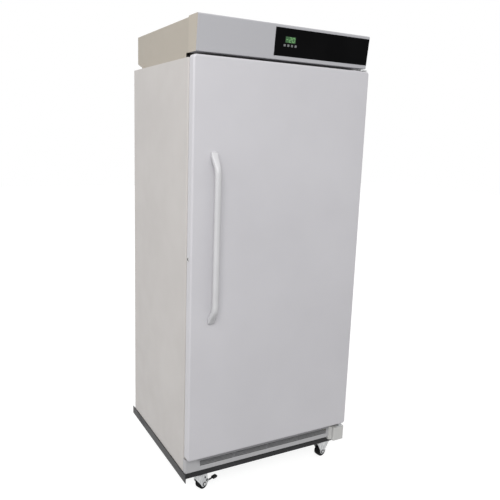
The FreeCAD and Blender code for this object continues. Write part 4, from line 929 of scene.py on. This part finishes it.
def soft_light(name, place, target, size, power):
    """Square studio light aimed at a point."""
    data = bpy.data.lights.new(name, "AREA")
    data.energy = power
    data.size = size
    light = bpy.data.objects.new(name, data)
    aim = (Vector(target) - Vector(place)).to_track_quat("-Z", "Y")
    light.matrix_world = Matrix.Translation(place) @ aim.to_matrix().to_4x4()
    bpy.context.scene.collection.objects.link(light)


def seen_rays(tree):
    """1 for what the camera sees, also mirrored or through glass, and 0 for what only lights."""
    path = node(tree, "LightPath")
    straight = path.outputs["Is Camera Ray"]
    seen = node(tree, "Math", {0: straight, 1: path.outputs["Is Transmission Ray"]})
    return node(tree, "Math", {0: seen.outputs[0], 1: path.outputs["Is Glossy Ray"]}).outputs[0]


def light_stage():
    """White studio: an even dome, a backdrop that only shows, and two large soft lights."""
    world = bpy.data.worlds.new("studio")
    bpy.context.scene.world = world
    world.use_nodes = True
    tree = world.node_tree
    dome = tree.nodes["Background"]
    dome.inputs["Color"].default_value = colour("#f8f7f7")
    dome.inputs["Strength"].default_value = DOME_STRENGTH
    backdrop = node(tree, "Background", {"Color": colour("#ffffff"), "Strength": 1.0})
    mix = node(
        tree, "MixShader", {0: seen_rays(tree), 1: dome.outputs[0], 2: backdrop.outputs[0]}
    )
    tree.links.new(mix.outputs[0], tree.nodes["World Output"].inputs["Surface"])
    for name, settings in LIGHTS.items():
        soft_light(name, *settings)
    bpy.context.scene.view_settings.view_transform = "Standard"


def lay_floor():
    """White floor that melts into the backdrop but keeps the freezer's shadow."""
    mesh = bmesh.new()
    corners = ((-1, -1), (1, -1), (1, 1), (-1, 1))
    mesh.faces.new([mesh.verts.new((x * FLOOR_REACH, y * FLOOR_REACH, 0)) for x, y in corners])
    shape = bpy.data.meshes.new("floor")
    mesh.to_mesh(shape)
    mesh.free()
    floor = bpy.data.objects.new("floor", shape)
    bpy.context.scene.collection.objects.link(floor)
    made, tree, shader, place = begin("floor_paper", Roughness=0.9)
    drift = node(tree, "TexNoise", {"Vector": place, "Scale": per(900), "Detail": 2.0})
    tone = node(
        tree,
        "Mix",
        {0: drift.outputs["Fac"], 6: colour("#939494"), 7: colour("#999998")},
        data_type="RGBA",
    )
    shader.inputs["Emission Color"].default_value = colour("#ffffff")
    lift = node(tree, "Math", {0: seen_rays(tree), 1: FLOOR_LIFT}, operation="MULTIPLY")
    drive(tree, shader, Base_Color=tone.outputs[2], Emission_Strength=lift.outputs[0])
    shape.materials.append(made)


dress_nodes()
bow_handle()
display()
wheels()
fork_fittings()
liner_flanges()
place_camera()
light_stage()
lay_floor()
